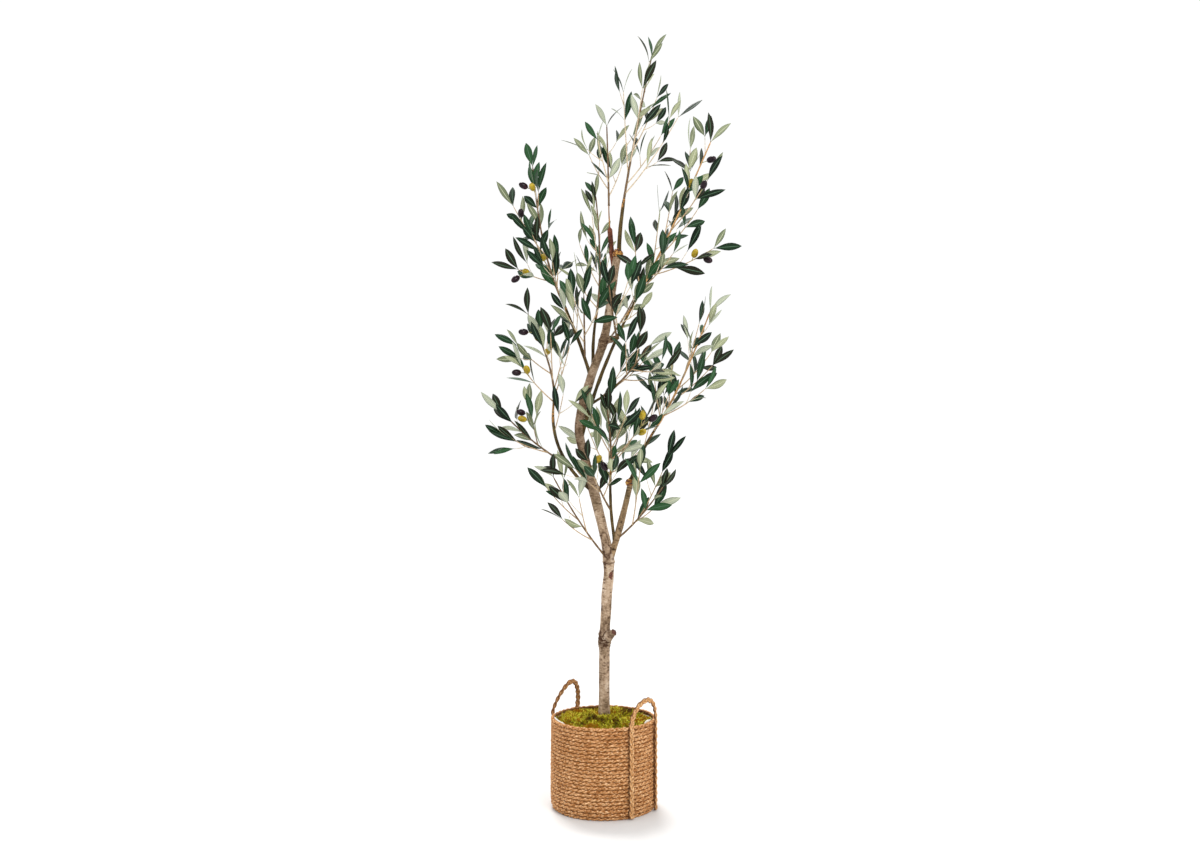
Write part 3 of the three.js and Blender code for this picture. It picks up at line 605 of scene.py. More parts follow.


# Bark: relief in the mesh, with a mark from 0 to 1 where it is darker: the pores' own dark, and painted shade
# in grooves, pits, folds, knots, under the bends and round each stub

barkLook = {
    "broad": {"stretch": (1.5, 1.5, 0.9), "scale": 34, "roughness": 0.6, "share": 0.6},
    "fine": {"stretch": (1, 1, 2.6), "scale": 150, "roughness": 0.65, "share": 0.4},
    "stops": (0.36, 0.46, 0.54, 0.66),
    "brown": ("86644a", 0.85),  # behind the middle sprays: it starts and ends between these heights
    "brownStart": (690, 880),
    "brownEnd": (960, 1090, 0.75),
    "green": ("6f6b45", 22, 0.55, 0.72),  # tint, scale of its patches, and where it starts and is full
    "bump": (0.5, 0.5),
    "tints": {  # dark to pale, then the mark's tint (painted shade, and the pores' own dark), the share of green and that of brown
        "greyBark": (("5a4633", "8e775f", "b29a82", "d2c1ad"), "432b1a", 0.12, 0.55),
        "brownBark": (("59462f", "776147", "907759", "ac9170"), "33230f", 0.25, 0.0),
        "boughBark": (("2f2411", "43361b", "564525", "6b5931"), "1c1308", 0.45, 0.0),
        "tanBark": (("614223", "885f36", "ab7d49", "cda472"), "3a230e", 0.3, 0.0),
        "redBark": (("2f1710", "522c1e", "71412e", "99634a"), "1e0f0a", 0.0, 0.0),
    },
}
cutLook = {
    "noise": (300,),
    "stops": (0.35, 0.55, 0.75),
    "tints": ("26110a", "5a2c1b", "8f5a3c"),
    "bump": (0.3, 0.4),
}
bark = {
    "lump": (45, 0.75),  # size of the pattern, or its sizes across and along, and height of the relief
    "streak": ((3.2, 3.2, 24), 0.32),
    "streakShade": (0.2, 0.4),  # painted shade in the streaks' grooves: depth where it starts, and how dark it is
    "pore": ((7.5, 7.5, 2.3), 0.6),
    "poreCut": (0.46, 0.34, 2.9),  # noise where a pore starts, its span, and what that is multiplied by
    "poreMark": 0.95,
    "grain": (2.2, 0.12),
    "bendStray": (14, 6),  # size of the pattern and how far a bend's ring strays from its height
    "bendRidge": (1.6, 2.2),  # height and width
    "bendShadow": (0.9, 3.4, 1.5),  # painted shadow under each ring's ridge: how dark, how far below the ridge, and width
    "callusEdge": (11, 0.42),
    "callusRise": (1.3, 1.6, 1.4),  # height, and the line along which it falls off
    # painted shade along the fold's edge: how dark, and its width
    "callusShade": (0.85, 0.16),
    "pitEdge": (3, 0.8),
    "pitDepth": 0.9,
    # how dark the painted shade in a pit is
    "pitShade": 0.85,
    "knotFold": (7.5, 1.9),
    "knotRing": (1.7, 4, 0.5),  # gap, how far the folds bend the rings, and height
    "knotWrinkle": (0.13, 1.1),
    "knotShade": (0.7, 0.9, 0.45, 0.1),  # painted shade in the wrinkles, hollows and troughs of the rings, and a little darker all over
    "scarEdge": (4, 0.35),
    "collar": (2.0, 1.7),  # the crease round a stub's foot, darkened by painted shadow: its radius in stub radii, and its width
    "collarStray": (5, 1.5),
    "collarMark": 0.8,
    "cutRim": 0.8,  # of its radius that the trunk keeps at the bevel of its cut
    "cutRise": 0.8,
    "forkSides": 48,
    "stubSides": 36,
    "stubLump": (7, 0.26),
    "stubFlare": (1.22, 0.75, 0.36, 0.34),  # least, swell, and where along it and how wide that is
    # painted shade on a stub: how dark all over, how dark a band is, and where along it and how wide that
    # band is
    "stubShade": (0.2, 0.5, 0.72, 0.1),
}
sleeve = {  # a sawn twig round a bough's foot
    "bough": "leader_side",
    "reach": 112,
    "radius": 6.1,
    "ragged": 5,
    "above": 0.62,  # of its radius that the bough has above it
}
moulded = {
    "ridge": ((2.0, 2.0, 30), 0.32),
    # painted shade in the grooves between ridges: where it starts, and how dark
    "ridgeShade": (0.15, 0.8),
    "lump": (22, 0.35),
    "sides": 18,
    "ringGap": 2.6,
    "footSwell": 1.6,
    "footReach": 9,
    "tanFrom": 0.95,  # share of the length from which a bough is tan, strayed by the mottle
    "mottle": (7, 0.34),
}
barkSeeds = {
    "trunk": 5, "scar": 66, "collar": 88, "stub": 60, "stubLump": 90,
    "bough": 100, "nextBough": 7, "mottle": 300,
}


def barkFinish(name, tints, dark, greenish, browner):
    made = Finish(name, Roughness=0.82, Specular_IOR_Level=0.22)
    place = made.place()
    tone, fine = made.mottle(place, barkLook, tints)
    low, high, fade = barkLook["brownEnd"]
    band = made.rise(place, *barkLook["brownStart"]) * (1 - made.rise(place, low, high) * fade)
    brown, strength = barkLook["brown"]
    tone = made.mix(band * browner, tone, made.mix(strength, tone, paint(brown), "MULTIPLY"))
    green, scale, start, full = barkLook["green"]
    patches = [(start, (0, 0, 0, 1)), (full, (greenish, greenish, greenish, 1))]
    tone = made.mix(made.ramp(made.noise(place, scale), patches), tone, paint(green))
    # the mark darkens the tone: painted shade, and the pores' own dark
    made.set("Base Color", made.mix(made.attribute("crease"), tone, paint(dark)))
    made.bump(fine, *barkLook["bump"])
    return made


barks = {name: barkFinish(name, *look) for name, look in barkLook["tints"].items()}
cutWood = cloudFinish("cutWood", cutLook, Roughness=0.75)


# angle of each spoke to the right of the front
def facingOf(spoke):
    return np.arctan2(spoke[..., 0], -spoke[..., 1])


# squared distance from the middle of an oval on the bark, 1 at its edge
def ovalReach(facing, heights, oval):
    aside, height, wide, tall = oval
    return ((facing - aside) / wide) ** 2 + ((heights - height)[:, None] / tall) ** 2


# moulded relief, with painted shade in the grooves between its ridges
def mouldedRelief(wrap, seed):
    size, height = moulded["ridge"]
    start, dark = moulded["ridgeShade"]
    ridge = layeredNoise(wrap / size, seed, 2)
    relief = ridge * height + rough(wrap, moulded["lump"], seed + 9)
    return relief, np.clip(-ridge - start, 0, 1) * dark


# wood relief, with the pores' own dark and painted shade in the streaks' grooves
def woodRelief(wrap, seed):
    size, streakHeight = bark["streak"]
    streak = layeredNoise(wrap / size, seed + 11, 3)
    size, poreHeight = bark["pore"]
    start, span, gain = bark["poreCut"]
    pore = np.clip(latticeNoise(wrap / size, seed + 23) - start, 0, span) * gain
    relief = rough(wrap, bark["lump"], seed, 3) + streak * streakHeight + pore * poreHeight
    relief = relief + rough(wrap, bark["grain"], seed + 31, 2)
    start, dark = bark["streakShade"]
    return relief, bark["poreMark"] * pore + dark * np.clip(-streak - start, 0, 1)


# rings where the trunk bends, each with a painted shadow under its ridge
def addBends(relief, mark, heights, wrap, seed):
    ridgeHeight, ridgeWidth = bark["bendRidge"]
    dark, below, lineWidth = bark["bendShadow"]
    stray = rough(wrap, bark["bendStray"], seed + 51)
    for height, rise in stick["joints"]:
        away = (heights - height)[:, None] + stray
        relief = relief + rise * ridgeHeight * hump(away, ridgeWidth)
        mark = mark + rise * dark * hump(away + below, lineWidth)
    return relief, mark


# the fold under the fork, with painted shade along its edge, then the pits, with painted shade in them
def addFolds(relief, mark, heights, wrap, seed, facing):
    height, start, fall = bark["callusRise"]
    dark, width = bark["callusShade"]
    inside = np.sqrt(ovalReach(facing, heights, stick["callus"]))
    inside = inside + rough(wrap, bark["callusEdge"], seed + 57, 2)
    relief = relief + height * np.clip(start - fall * inside, 0, 1)
    mark = mark + dark * hump(inside - 1, width)
    ragged = 1 + rough(wrap, bark["pitEdge"], seed + 71, 2)
    for oval in stick["pits"]:
        pit = hump(ovalReach(facing, heights, oval) * ragged, 1)
        relief = relief - bark["pitDepth"] * pit
        mark = mark + bark["pitShade"] * pit
    return relief, mark


# relief round the knots, with painted shade in their wrinkles, hollows and the troughs of their rings
def addKnots(relief, mark, heights, wrap, seed, reach):
    size, foldHeight = bark["knotFold"]
    gap, bend, ringHeight = bark["knotRing"]
    width, depth = bark["knotWrinkle"]
    wrinkled, hollow, ringed, everywhere = bark["knotShade"]
    fold = layeredNoise(wrap / size, seed + 41, 3)
    ring = np.sin(reach[:, None] / gap + fold * bend)
    wrinkle = hump(fold, width)
    dark = wrinkle * wrinkled + np.clip(-fold, 0, 1) * hollow + ringed * np.clip(-ring, 0, 1) + everywhere
    for knot in stick["knots"]:
        near = knot["rough"] * hump(heights - knot["height"], knot["spread"])[:, None]
        relief = relief + near * (fold * foldHeight + ring * ringHeight - wrinkle * depth)
        mark = mark + near * dark
    return relief, mark


# a limb's rings with their own relief, and the mark of each corner, which is painted shade and the pores' own
# dark; its kind is moulded, wood or trunk
def barkRings(curve, radii, shares, reach, sides, seed, kind):
    path = curve.at(shares)
    tangent = curve.along(shares)
    turn = turns(sides)
    mean = float(np.mean(radii))
    wrap = np.broadcast_arrays(np.cos(turn)[None] * mean, np.sin(turn)[None] * mean, reach[:, None])
    wrap = np.stack(wrap, -1)
    relief, mark = mouldedRelief(wrap, seed) if kind == "moulded" else woodRelief(wrap, seed)
    if kind == "trunk":
        heights = path[:, 2]
        relief, mark = addBends(relief, mark, heights, wrap, seed)
        relief, mark = addFolds(relief, mark, heights, wrap, seed, facingOf(spokes(tangent, turn)))
        relief, mark = addKnots(relief, mark, heights, wrap, seed, reach)
    return ringsAlong(path, radii[:, None] + relief, sides, tangent), np.clip(mark, 0, 1)


# a bar whose tip has the second finish
def addCutBar(heap, rings, mark):
    points, blocks = skin(rings)
    heap.add(points, blocks, [0, 0, 1], np.concatenate([mark.ravel(), [0, 0]]))


# how near each corner of a limb's rings is to the crease round a stub's foot, which gets a painted shadow
def collarMark(rings, stub):
    along = unit(stub["tip"] - stub["foot"])
    out = rings - stub["foot"]
    reach = out @ along
    away = np.linalg.norm(out - reach[..., None] * along, axis=-1)
    away = away + rough(rings, bark["collarStray"], barkSeeds["collar"])
    radius, wide = bark["collar"]
    return hump(away - radius * stub["radius"], wide) * (reach > 0)


# which side faces lie in the scar
def scarTints(rings):
    rings = rings[:-1]
    middle = rings.mean(1)
    inside = ovalReach(facingOf(rings - middle[:, None]), middle[:, 2], stick["scar"])
    inside = inside + rough(rings, bark["scarEdge"], barkSeeds["scar"])
    return np.where(inside < 1, 1, 0).ravel()


def stubRings(stub, number):
    line = Arc(stub["foot"], (stub["foot"] + stub["tip"]) / 2, stub["tip"])
    shares, reach = evenShares(line, stick["ringGap"])
    least, swell, place, width = bark["stubFlare"]
    radii = stub["radius"] * (least + swell * hump(shares - place, width))
    rings, mark = barkRings(line, radii, shares, reach, bark["stubSides"], barkSeeds["stub"] + number, "wood")
    middle = rings.mean(1, keepdims=True)
    lump = rough(rings, bark["stubLump"], barkSeeds["stubLump"] + number, 3)[..., None]
    # painted shade all over the stub, and a darker band along it
    least, dark, place, width = bark["stubShade"]
    mark = np.clip(least + mark + dark * hump(shares[:, None] - place, width), 0, 1)
    return middle + (rings - middle) * (1 + lump), mark


def makeTrunk():
    curve, stubs = limbs["trunk"]["curve"], limbs["trunk"]["stubs"]
    shares, reach = evenShares(curve, stick["ringGap"])
    radii = limbs["trunk"]["radiusAt"](shares)
    rings, mark = barkRings(curve, radii, shares, reach, stick["sides"], barkSeeds["trunk"], "trunk")
    middle = rings[-1].mean(0)
    bevel = middle + (rings[-1] - middle) * bark["cutRim"]
    rings = np.concatenate([rings, bevel[None] + curve.along(1) * bark["cutRise"]])
    mark = np.concatenate([mark, mark[-1:]])
    for stub in stubs:
        # painted shadow in the crease round each stub's foot
        mark = np.clip(mark + bark["collarMark"] * collarMark(rings, stub), 0, 1)
    heap = Heap()
    addCutBar(heap, rings, mark)
    heap.repaintSides(scarTints(rings))
    for number, stub in enumerate(stubs):
        addCutBar(heap, *stubRings(stub, number))
    heap.piece("trunkBark", [barks["greyBark"], cutWood], "bark", ["trunk"], "crease")


# the fork is wood like the trunk, and the other boughs are moulded
def makeBough(name, number):
    curve = limbs[name]["curve"]
    isFork, isSleeved = name == "right_stem", name == sleeve["bough"]
    kind, sides = ("wood", bark["forkSides"]) if isFork else ("moulded", moulded["sides"])
    shares, reach = evenShares(curve, stick["ringGap"] if isFork else moulded["ringGap"])
    radii = limbs[name]["radiusAt"](shares) * boughs[name].get("stout", 1)
    radii = radii + moulded["footSwell"] * np.exp(-reach / moulded["footReach"])
    if isSleeved:
        above = radii * sleeve["above"]
        inside = np.clip((sleeve["reach"] - reach) / sleeve["ragged"], 0, 1)
        radii = above + (sleeve["radius"] - above) * inside
    seed = barkSeeds["bough"] + barkSeeds["nextBough"] * number
    rings, mark = barkRings(curve, radii, shares, reach, sides, seed, kind)
    heap = Heap()
    addCutBar(heap, rings, mark)
    finishes = [barks["boughBark"], cutWood, barks["tanBark"], barks["redBark"]]
    plain, tan, red = 0, 2, 3
    if isFork:
        finishes = [barks["brownBark"], cutWood]
    elif isSleeved:
        heap.repaintSides(np.repeat(np.where(reach[:-1] < sleeve["reach"], red, tan), sides))
    else:
        stray = rough(rings[:-1], moulded["mottle"], barkSeeds["mottle"] + number, 2)
        isTan = shares[:-1, None] + stray > moulded["tanFrom"]
        heap.repaintSides(np.where(isTan, tan, plain).ravel())
    heap.piece(name + "_bark", finishes, "bark" if isFork else "wrap", [name], "crease")


makeTrunk()
for number, name in enumerate(boughs):
    makeBough(name, number)


# Resin: the lumps that hold the sprays in the stick's sawn ends

resin = {
    "topResin": {"place": (34, -1, 1313), "size": (12, 11.5, 11), "seed": 3},
    "stemResin": {"place": (63, -10, 770), "size": (10.2, 9.4, 10), "seed": 5},
}
resinLook = {
    "sides": 26,
    "rows": 18,
    "poleGap": 0.08,
    "lump": (2.2, 0.27),
    "noise": (120, 4, 0.6),  # scale, detail and roughness
    "stops": (0.42, 0.49, 0.56, 0.64),
    "tints": ("2e1608", "7c4412", "b87c2c", "deb25c"),
    "bump": (0.8, 0.6),
}


def makeResin():
    finish = cloudFinish("resin", resinLook, Roughness=0.5)
    tilt = np.linspace(resinLook["poleGap"], math.pi - resinLook["poleGap"], resinLook["rows"])[:, None]
    turn = turns(resinLook["sides"])
    wide = np.sin(tilt)
    ball = np.stack(np.broadcast_arrays(wide * np.cos(turn), wide * -np.sin(turn), -np.cos(tilt)), -1)
    size, rise = resinLook["lump"]
    for name, lump in resin.items():
        rings = ball * (1 + rise * layeredNoise(ball * size, lump["seed"], 3)[..., None])
        heap = Heap()
        heap.add(*skin(rings * np.array(lump["size"]) + np.array(lump["place"])))
        heap.piece(name, [finish], "bark")


makeResin()


# Sprays: the limb that carries each (at a height, or else at its tip), the stem's tip and its bare share,
# the side shoots (how far up the stem, then the tip) and the olives (across, height, and whether it is ripe)

sprays = {
    "leaves_top": {
        "limb": "leader", "tip": (116, 10, 1790), "bare": 0.25,
        "shoots": [
            (0.05, 178, -20, 1637), (0.14, 141, 50, 1610), (0.22, 48, 35, 1712), (0.32, 92, -40, 1700),
            (0.4, 130, 45, 1700),
        ],
    },
    "leaves_top_left": {
        "limb": "leader_side", "tip": (8, 62, 1636), "bare": 0.1,
        "shoots": [(0.25, -36, 90, 1570), (0.15, 46, 95, 1545), (0.35, -14, 10, 1590)],
    },
    "leaves_back_left": {
        "limb": "back_bough", "tip": (-19, 120, 1476), "bare": 0.1,
        "shoots": [
            (0.08, -62, 15, 1250), (0.3, -60, 150, 1360), (0.22, 16, 140, 1330), (0.4, -28, 60, 1420),
        ],
    },
    "leaves_upper_left": {
        "limb": "upper_left_bough", "tip": (-171, 40, 1533), "bare": 0,
        "shoots": [
            (0.15, -204, -15, 1276), (0.38, -222, 85, 1445), (0.25, -168, -45, 1355), (0.03, -120, -50, 1290),
            (0.08, -110, 75, 1310),
        ],
        "olives": [
            (-192, 1480, True), (-170, 1475, False), (-200, 1420, True), (-165, 1304, True),
            (-143, 1302, False), (-208, 1251, True), (-183, 1268, False),
        ],
    },
    "leaves_inner_left": {
        "limb": "upper_left_bough", "height": 1064, "tip": (-46, -70, 1212), "bare": 0.15,
        "shoots": [(0.3, -92, -60, 1176), (0.42, -12, -95, 1176), (0.5, -70, -95, 1204)],
    },
    "leaves_upper_right": {
        "limb": "upper_right_bough", "tip": (251, -60, 1569), "bare": 0,
        "shoots": [
            (0.16, 258, -75, 1318), (0.06, 160, -120, 1300), (0.22, 135, 30, 1420), (0.5, 241, -105, 1472),
            (0.36, 165, 0, 1465), (0.02, 72, -75, 1325), (0.3, 225, -10, 1420), (0.7, 205, -25, 1560),
        ],
        "olives": [
            (251, 1524, True), (230, 1458, True), (204, 1470, False), (242, 1289, True), (212, 1305, False),
        ],
    },
    "leaves_mid_left": {
        "limb": "left_bough", "tip": (-177, -60, 1167), "bare": 0,
        "shoots": [
            (0.4, -205, 0, 1096), (0.32, -122, -100, 1121), (0.1, -78, -45, 1096), (0.03, -195, -35, 1046),
            (0.2, -90, 40, 1110),
        ],
        "olives": [
            (-187, 1123, True), (-154, 1111, False), (-131, 1078, False), (-204, 1029, True),
            (-180, 1036, False),
        ],
    },
    "leaves_low_left_arm": {
        "limb": "left_bough", "height": 812, "tip": (-246, 52, 938), "bare": 0.2,
        "shoots": [(0.3, -238, 5, 884), (0.45, -180, 75, 955)],
        "olives": [(-200, 937, True), (-196, 921, False)],
    },
    "leaves_low_left": {
        "limb": "trunk", "height": 584, "tip": (-118, -72, 788), "bare": 0.3,
        "shoots": [(0.4, -58, -55, 740), (0.3, -98, -60, 688), (0.55, -136, -25, 760)],
    },
    "leaves_low_right": {
        "limb": "right_stem", "height": 634, "tip": (138, -84, 764), "bare": 0.3,
        "shoots": [(0.5, 152, -48, 832), (0.35, 84, -105, 808), (0.42, 118, -50, 712)],
    },
    "leaves_right": {
        "limb": "right_bough", "tip": (260, 60, 1184), "bare": 0.05,
        "shoots": [
            (0.12, 244, -10, 994), (0.4, 268, 110, 1088), (0.36, 190, 105, 1120), (0.22, 162, -40, 1066),
            (0.06, 118, -50, 1022), (0.28, 262, 5, 1050), (0.5, 228, -5, 1150),
        ],
    },
    "leaves_low_middle": {
        "limb": "inner_stem", "tip": (8, -145, 942), "bare": 0,
        "shoots": [(0.2, 96, -112, 918), (0.4, 50, -165, 930), (0.1, 70, -60, 880), (0.3, -30, -100, 935)],
        "olives": [(89, 929, False), (113, 922, True), (88, 890, False)],
    },
    "leaves_middle": {
        "limb": "middle_bough", "tip": (104, -145, 1088), "bare": 0,
        "shoots": [
            (0.45, 138, -165, 1030), (0.28, 50, -150, 1096), (0.12, 100, -85, 1012), (0.6, 84, -110, 1118),
        ],
    },
    "leaves_front_low": {
        "limb": "inner_stem", "height": 703, "tip": (-36, -118, 826), "bare": 0.3,
        "shoots": [(0.45, -66, -90, 806), (0.35, 20, -120, 800)],
        "olives": [(-13, 828, False), (1, 812, True)],
    },
    "leaves_front_mid": {
        "limb": "upper_right_bough", "height": 1112, "tip": (12, -125, 1226), "bare": 0.2,
        "shoots": [(0.3, 84, -115, 1170), (0.4, 56, -130, 1236)],
    },
    "leaves_back_low": {
        "limb": "trunk", "height": 735, "tip": (47, 190, 906), "bare": 0.25,
        "shoots": [(0.44, -45, 175, 915), (0.34, 98, 140, 850), (0.56, 20, 130, 920)],
    },
    "leaves_back_mid": {
        "limb": "trunk", "height": 1090, "tip": (93, 180, 1259), "bare": 0.25,
        "shoots": [(0.4, 25, 205, 1250), (0.5, 110, 110, 1270)],
    },
}
twig = {
    "stemFootRadius": 2.6,
    "stemTipRadius": 1.6,
    "footRadius": 2.2,
    "tipRadius": 1.3,
    "endShare": 0.25,
    "sag": 0.05,  # how far a shoot hangs below its straight line, as a share of its length
    "stemRoll": 0.9,  # span in which a stem's end pair is turned from the front view
    "forkGap": 13,
    "bareFoot": 0.25,
    "steps": 8,  # straight segments that stand for a twig where room is measured
    "limbSteps": 14,
    "stubRoom": 1.15,
    "sides": 6,
    "ringGap": 9,
    "slim": (0.98, 0.7, 0.82),  # of the part's radius, by level
    "ripple": (0.1, 4.1),  # height and length of the waves along a twig
    "knuckle": (0.5, 3.5),  # the swelling at its foot
    "creamSprays": (  # with pale shoots
        "leaves_top", "leaves_top_left", "leaves_back_left", "leaves_front_mid", "leaves_inner_left",
    ),
    "tanSprays": ("leaves_upper_right", "leaves_right"),  # with bright stems
    "tints": {  # the first three by level
        "stemBark": "6a5030",
        "shootBark": "b59a76",
        "twigletBark": "d4c6ae",
        "creamBark": "cdb99b",
        "tanTwig": "b98d57",
    },
    "speckle": (260, 0.62, 1.35),  # scale, and how dim and how bright it makes the tint
    "speckleStops": (0.32, 0.52, 0.72),
}
sprig = {"gap": 100, "length": (58, 86), "radius": 1.7, "forward": 0.75, "aside": 0.5, "lift": 0.7}
twiglet = {
    "gap": 96,
    "length": (30, 52),
    "radii": (1.25, 0.8),
    "spread": (0.5, 0.85),  # angle to its twig, in radians
    "bareFoot": 0.45,
    "least": 70,  # length of a twig that has twiglets
    "leastBare": 0.12,
    "firstGap": 0.3,  # of a gap, up to the first one
    "endGap": 24,
    "shift": (-9, 9),
    "turn": 2.4,  # from each to the next
    "stray": (-0.5, 0.5),
    "lift": 0.12,
}
limbTwigs = [  # on a bough: the spray that each belongs to, the bough, how far along it, and the twig's tip
    ("leaves_middle", "middle_bough", 0.35, (62, -58, 1072)),
    ("leaves_middle", "middle_bough", 0.8, (94, -70, 1056)),
    ("leaves_mid_left", "left_bough", 0.72, (-94, -46, 980)),
    ("leaves_inner_left", "upper_left_bough", 0.5, (-60, -40, 1180)),
    ("leaves_right", "right_bough", 0.6, (118, -32, 955)),
    ("leaves_right", "right_bough", 0.9, (154, -22, 978)),
]
growSeeds = {"twigs": (4100, 97), "twiglets": (7000, 31), "leaves": (9000, 53)}  # the first, and the step
roomSize = {"lines": 40000, "margin": 40}


# rolls from 0 to 1, the same in every run
class Dice:
    def __init__(self, use, number):
        first, step = growSeeds[use]
        self.state = first + number * step

    def roll(self):
        self.state = (self.state * 1664525 + 1013904223) % 2 ** 32
        return self.state / 2 ** 32

    def pick(self, span):
        return span[0] + (span[1] - span[0]) * self.roll()


# every straight line that is taken, with its radius, the thing it belongs to and its pair
class Room:
    def __init__(self):
        size = roomSize["lines"]
        self.count = 0
        self.ends = np.zeros((size, 2, 3))
        self.radii = np.zeros(size)
        self.owners = np.full(size, -1)
        self.pairs = np.full(size, np.nan)

    def take(self, lines, radii, owner=-1, pair=np.nan):
        span = slice(self.count, self.count + len(lines))
        self.ends[span] = lines
        self.radii[span] = radii
        self.owners[span] = owner
        self.pairs[span] = pair
        self.count += len(lines)

    def free(self, lines, radii, growsOn=-2, pair=np.nan):
        low, high = lines.min((0, 1)) - roomSize["margin"], lines.max((0, 1)) + roomSize["margin"]
        taken = self.ends[:self.count]
        near = (taken.max(1) > low).all(1) & (taken.min(1) < high).all(1)
        near &= (self.owners[:self.count] != growsOn) & (self.pairs[:self.count] != pair)
        taken, thick = taken[near], self.radii[:self.count][near]
        if not len(taken):
            return True
        for line, radius in zip(lines, np.broadcast_to(radii, len(lines))):
            if not (lineGaps(line, taken) > radius + thick + stick["seatGap"]).all():
                return False
        return True


# shortest distances from one line to many
def lineGaps(line, others):
    first = line[1] - line[0]
    second = others[:, 1] - others[:, 0]
    between = line[0] - others[:, 0]
    firstSize, secondSize = first @ first, (second * second).sum(1)
    slant, firstLag, secondLag = second @ first, between @ first, (second * between).sum(1)
    cross = firstSize * secondSize - slant * slant
    share = np.clip((slant * secondLag - firstLag * secondSize) / np.maximum(cross, tiny), 0, 1)
    share = np.where(cross > tiny, share, 0)
    other = (slant * share + secondLag) / secondSize
    isOutside = (other < 0) | (other > 1)
    other = np.clip(other, 0, 1)
    share = np.where(isOutside, np.clip((slant * other - firstLag) / firstSize, 0, 1), share)
    return np.linalg.norm(between + first * share[:, None] - second * other[:, None], axis=1)


def linesAlong(curve, radiusAt, steps):
    shares = np.linspace(0, 1, steps + 1)
    points = curve.at(shares)
    radii = radiusAt(shares)
    return np.stack([points[:-1], points[1:]], 1), np.maximum(radii[:-1], radii[1:])


def takeLimbs(room):
    for limb in limbs.values():
        room.take(*linesAlong(limb["curve"], limb["radiusAt"], twig["limbSteps"]))
        for stub in limb["stubs"]:
            room.take(np.array([[stub["foot"], stub["tip"]]]), stub["radius"] * twig["stubRoom"])


# a twig's level is 0 for a stem, 1 for a shoot or sprig and 2 for a twiglet
class Twig:
    count = 0

    def __init__(self, curve, radii, bare, level):
        self.curve, self.radii, self.bare, self.level = curve, radii, bare, level
        self.length = stepLengths(curve.at(np.linspace(0, 1, samples["length"]))).sum()
        self.roll = 0.0
        self.forks = []
        self.number = Twig.count
        Twig.count += 1

    def radiusAt(self, share):
        taper = taperBetween(*self.radii)(share)
        return np.where(share < 1, taper, taper * twig["endShare"])

    def lines(self):
        return linesAlong(self.curve, self.radiusAt, twig["steps"])


def sagging(foot, tip):
    tip = np.asarray(tip, float)
    return bowed(foot, tip, -up * twig["sag"] * np.linalg.norm(tip - foot))


# a side twig starts where its stem has no other fork near and its line has room
def growSide(stem, at, end, radii, bare, level, room):
    child = Twig(sagging(stem.curve.at(at), end), radii, bare, level)
    lines, thick = child.lines()
    isCrowded = any(abs(fork - at) * stem.length < twig["forkGap"] for fork in stem.forks)
    if isCrowded or not room.free(lines[1:], thick[1:], stem.number):
        return []
    stem.forks.append(at)
    room.take(lines, thick, child.number)
    return [child]


# the part's own rule: a stem onward from its limb, its shoots, and sprigs to the front and back
def layTwigs(spray, dice, room):
    limb = limbs[spray["limb"]]
    bare = spray["bare"]
    foot = limbFoot(limb, spray)
    if "height" in spray:
        curve = sagging(foot, spray["tip"])
        footRadius = twig["stemFootRadius"]
    else:
        curve = onward(foot, spray["tip"], limb["curve"].along(1))
        footRadius = float(limb["radiusAt"](1))
    stem = Twig(curve, (footRadius, twig["stemTipRadius"]), bare, 0)
    stem.roll = (dice.roll() - 0.5) * twig["stemRoll"]
    room.take(*stem.lines(), stem.number)
    grown = [stem]
    radii = (twig["footRadius"], twig["tipRadius"])
    for at, *end in spray["shoots"]:
        grown += growSide(stem, at, end, radii, twig["bareFoot"], 1, room)
    radii = (sprig["radius"], twig["tipRadius"])
    sprigs = int(stem.length * (1 - bare) / sprig["gap"])
    for i in range(sprigs):
        share = bare + (1 - bare) * (i + 0.5) / (sprigs + 0.5)
        forward = sprig["forward"] if i % 2 else -sprig["forward"]
        reach = np.array([(dice.roll() - 0.5) * sprig["aside"], forward, 0])
        reach = unit(reach + curve.along(share) * sprig["lift"])
        end = curve.at(share) + reach * dice.pick(sprig["length"])
        grown += growSide(stem, share, end, radii, twig["bareFoot"], 1, room)
    return grown


# finer than the part: short twiglets to both sides of each longer twig
def layTwiglets(laid, dice, room):
    grown = []
    if laid.length < twiglet["least"]:
        return grown
    first = laid.length * max(laid.bare, twiglet["leastBare"]) + twiglet["gap"] * twiglet["firstGap"]
    places = np.arange(first, laid.length - twiglet["endGap"], twiglet["gap"])
    for number, place in enumerate(places):
        share = (place + dice.pick(twiglet["shift"])) / laid.length
        tangent = laid.curve.along(share)
        side, front = squareTo(tangent)
        turn = laid.roll + number * twiglet["turn"] + dice.pick(twiglet["stray"])
        angle = dice.pick(twiglet["spread"])
        outward = side * math.cos(turn) + front * math.sin(turn)
        reach = tangent * math.cos(angle) + outward * math.sin(angle) + up * twiglet["lift"]
        end = laid.curve.at(share) + unit(reach) * dice.pick(twiglet["length"])
        grown += growSide(laid, share, end, twiglet["radii"], twiglet["bareFoot"], 2, room)
    return grown


# finer than the part: a few twigs straight from the boughs
def layLimbTwigs(laid, room):
    for name, limb, share, tip in limbTwigs:
        curve = sagging(limbs[limb]["curve"].at(share), tip)
        made = Twig(curve, (sprig["radius"], twig["tipRadius"]), twig["bareFoot"], 1)
        lines, thick = made.lines()
        if room.free(lines[2:], thick[2:]):  # the first two lie in the bough
            room.take(lines, thick, made.number)
            laid[name].append(made)


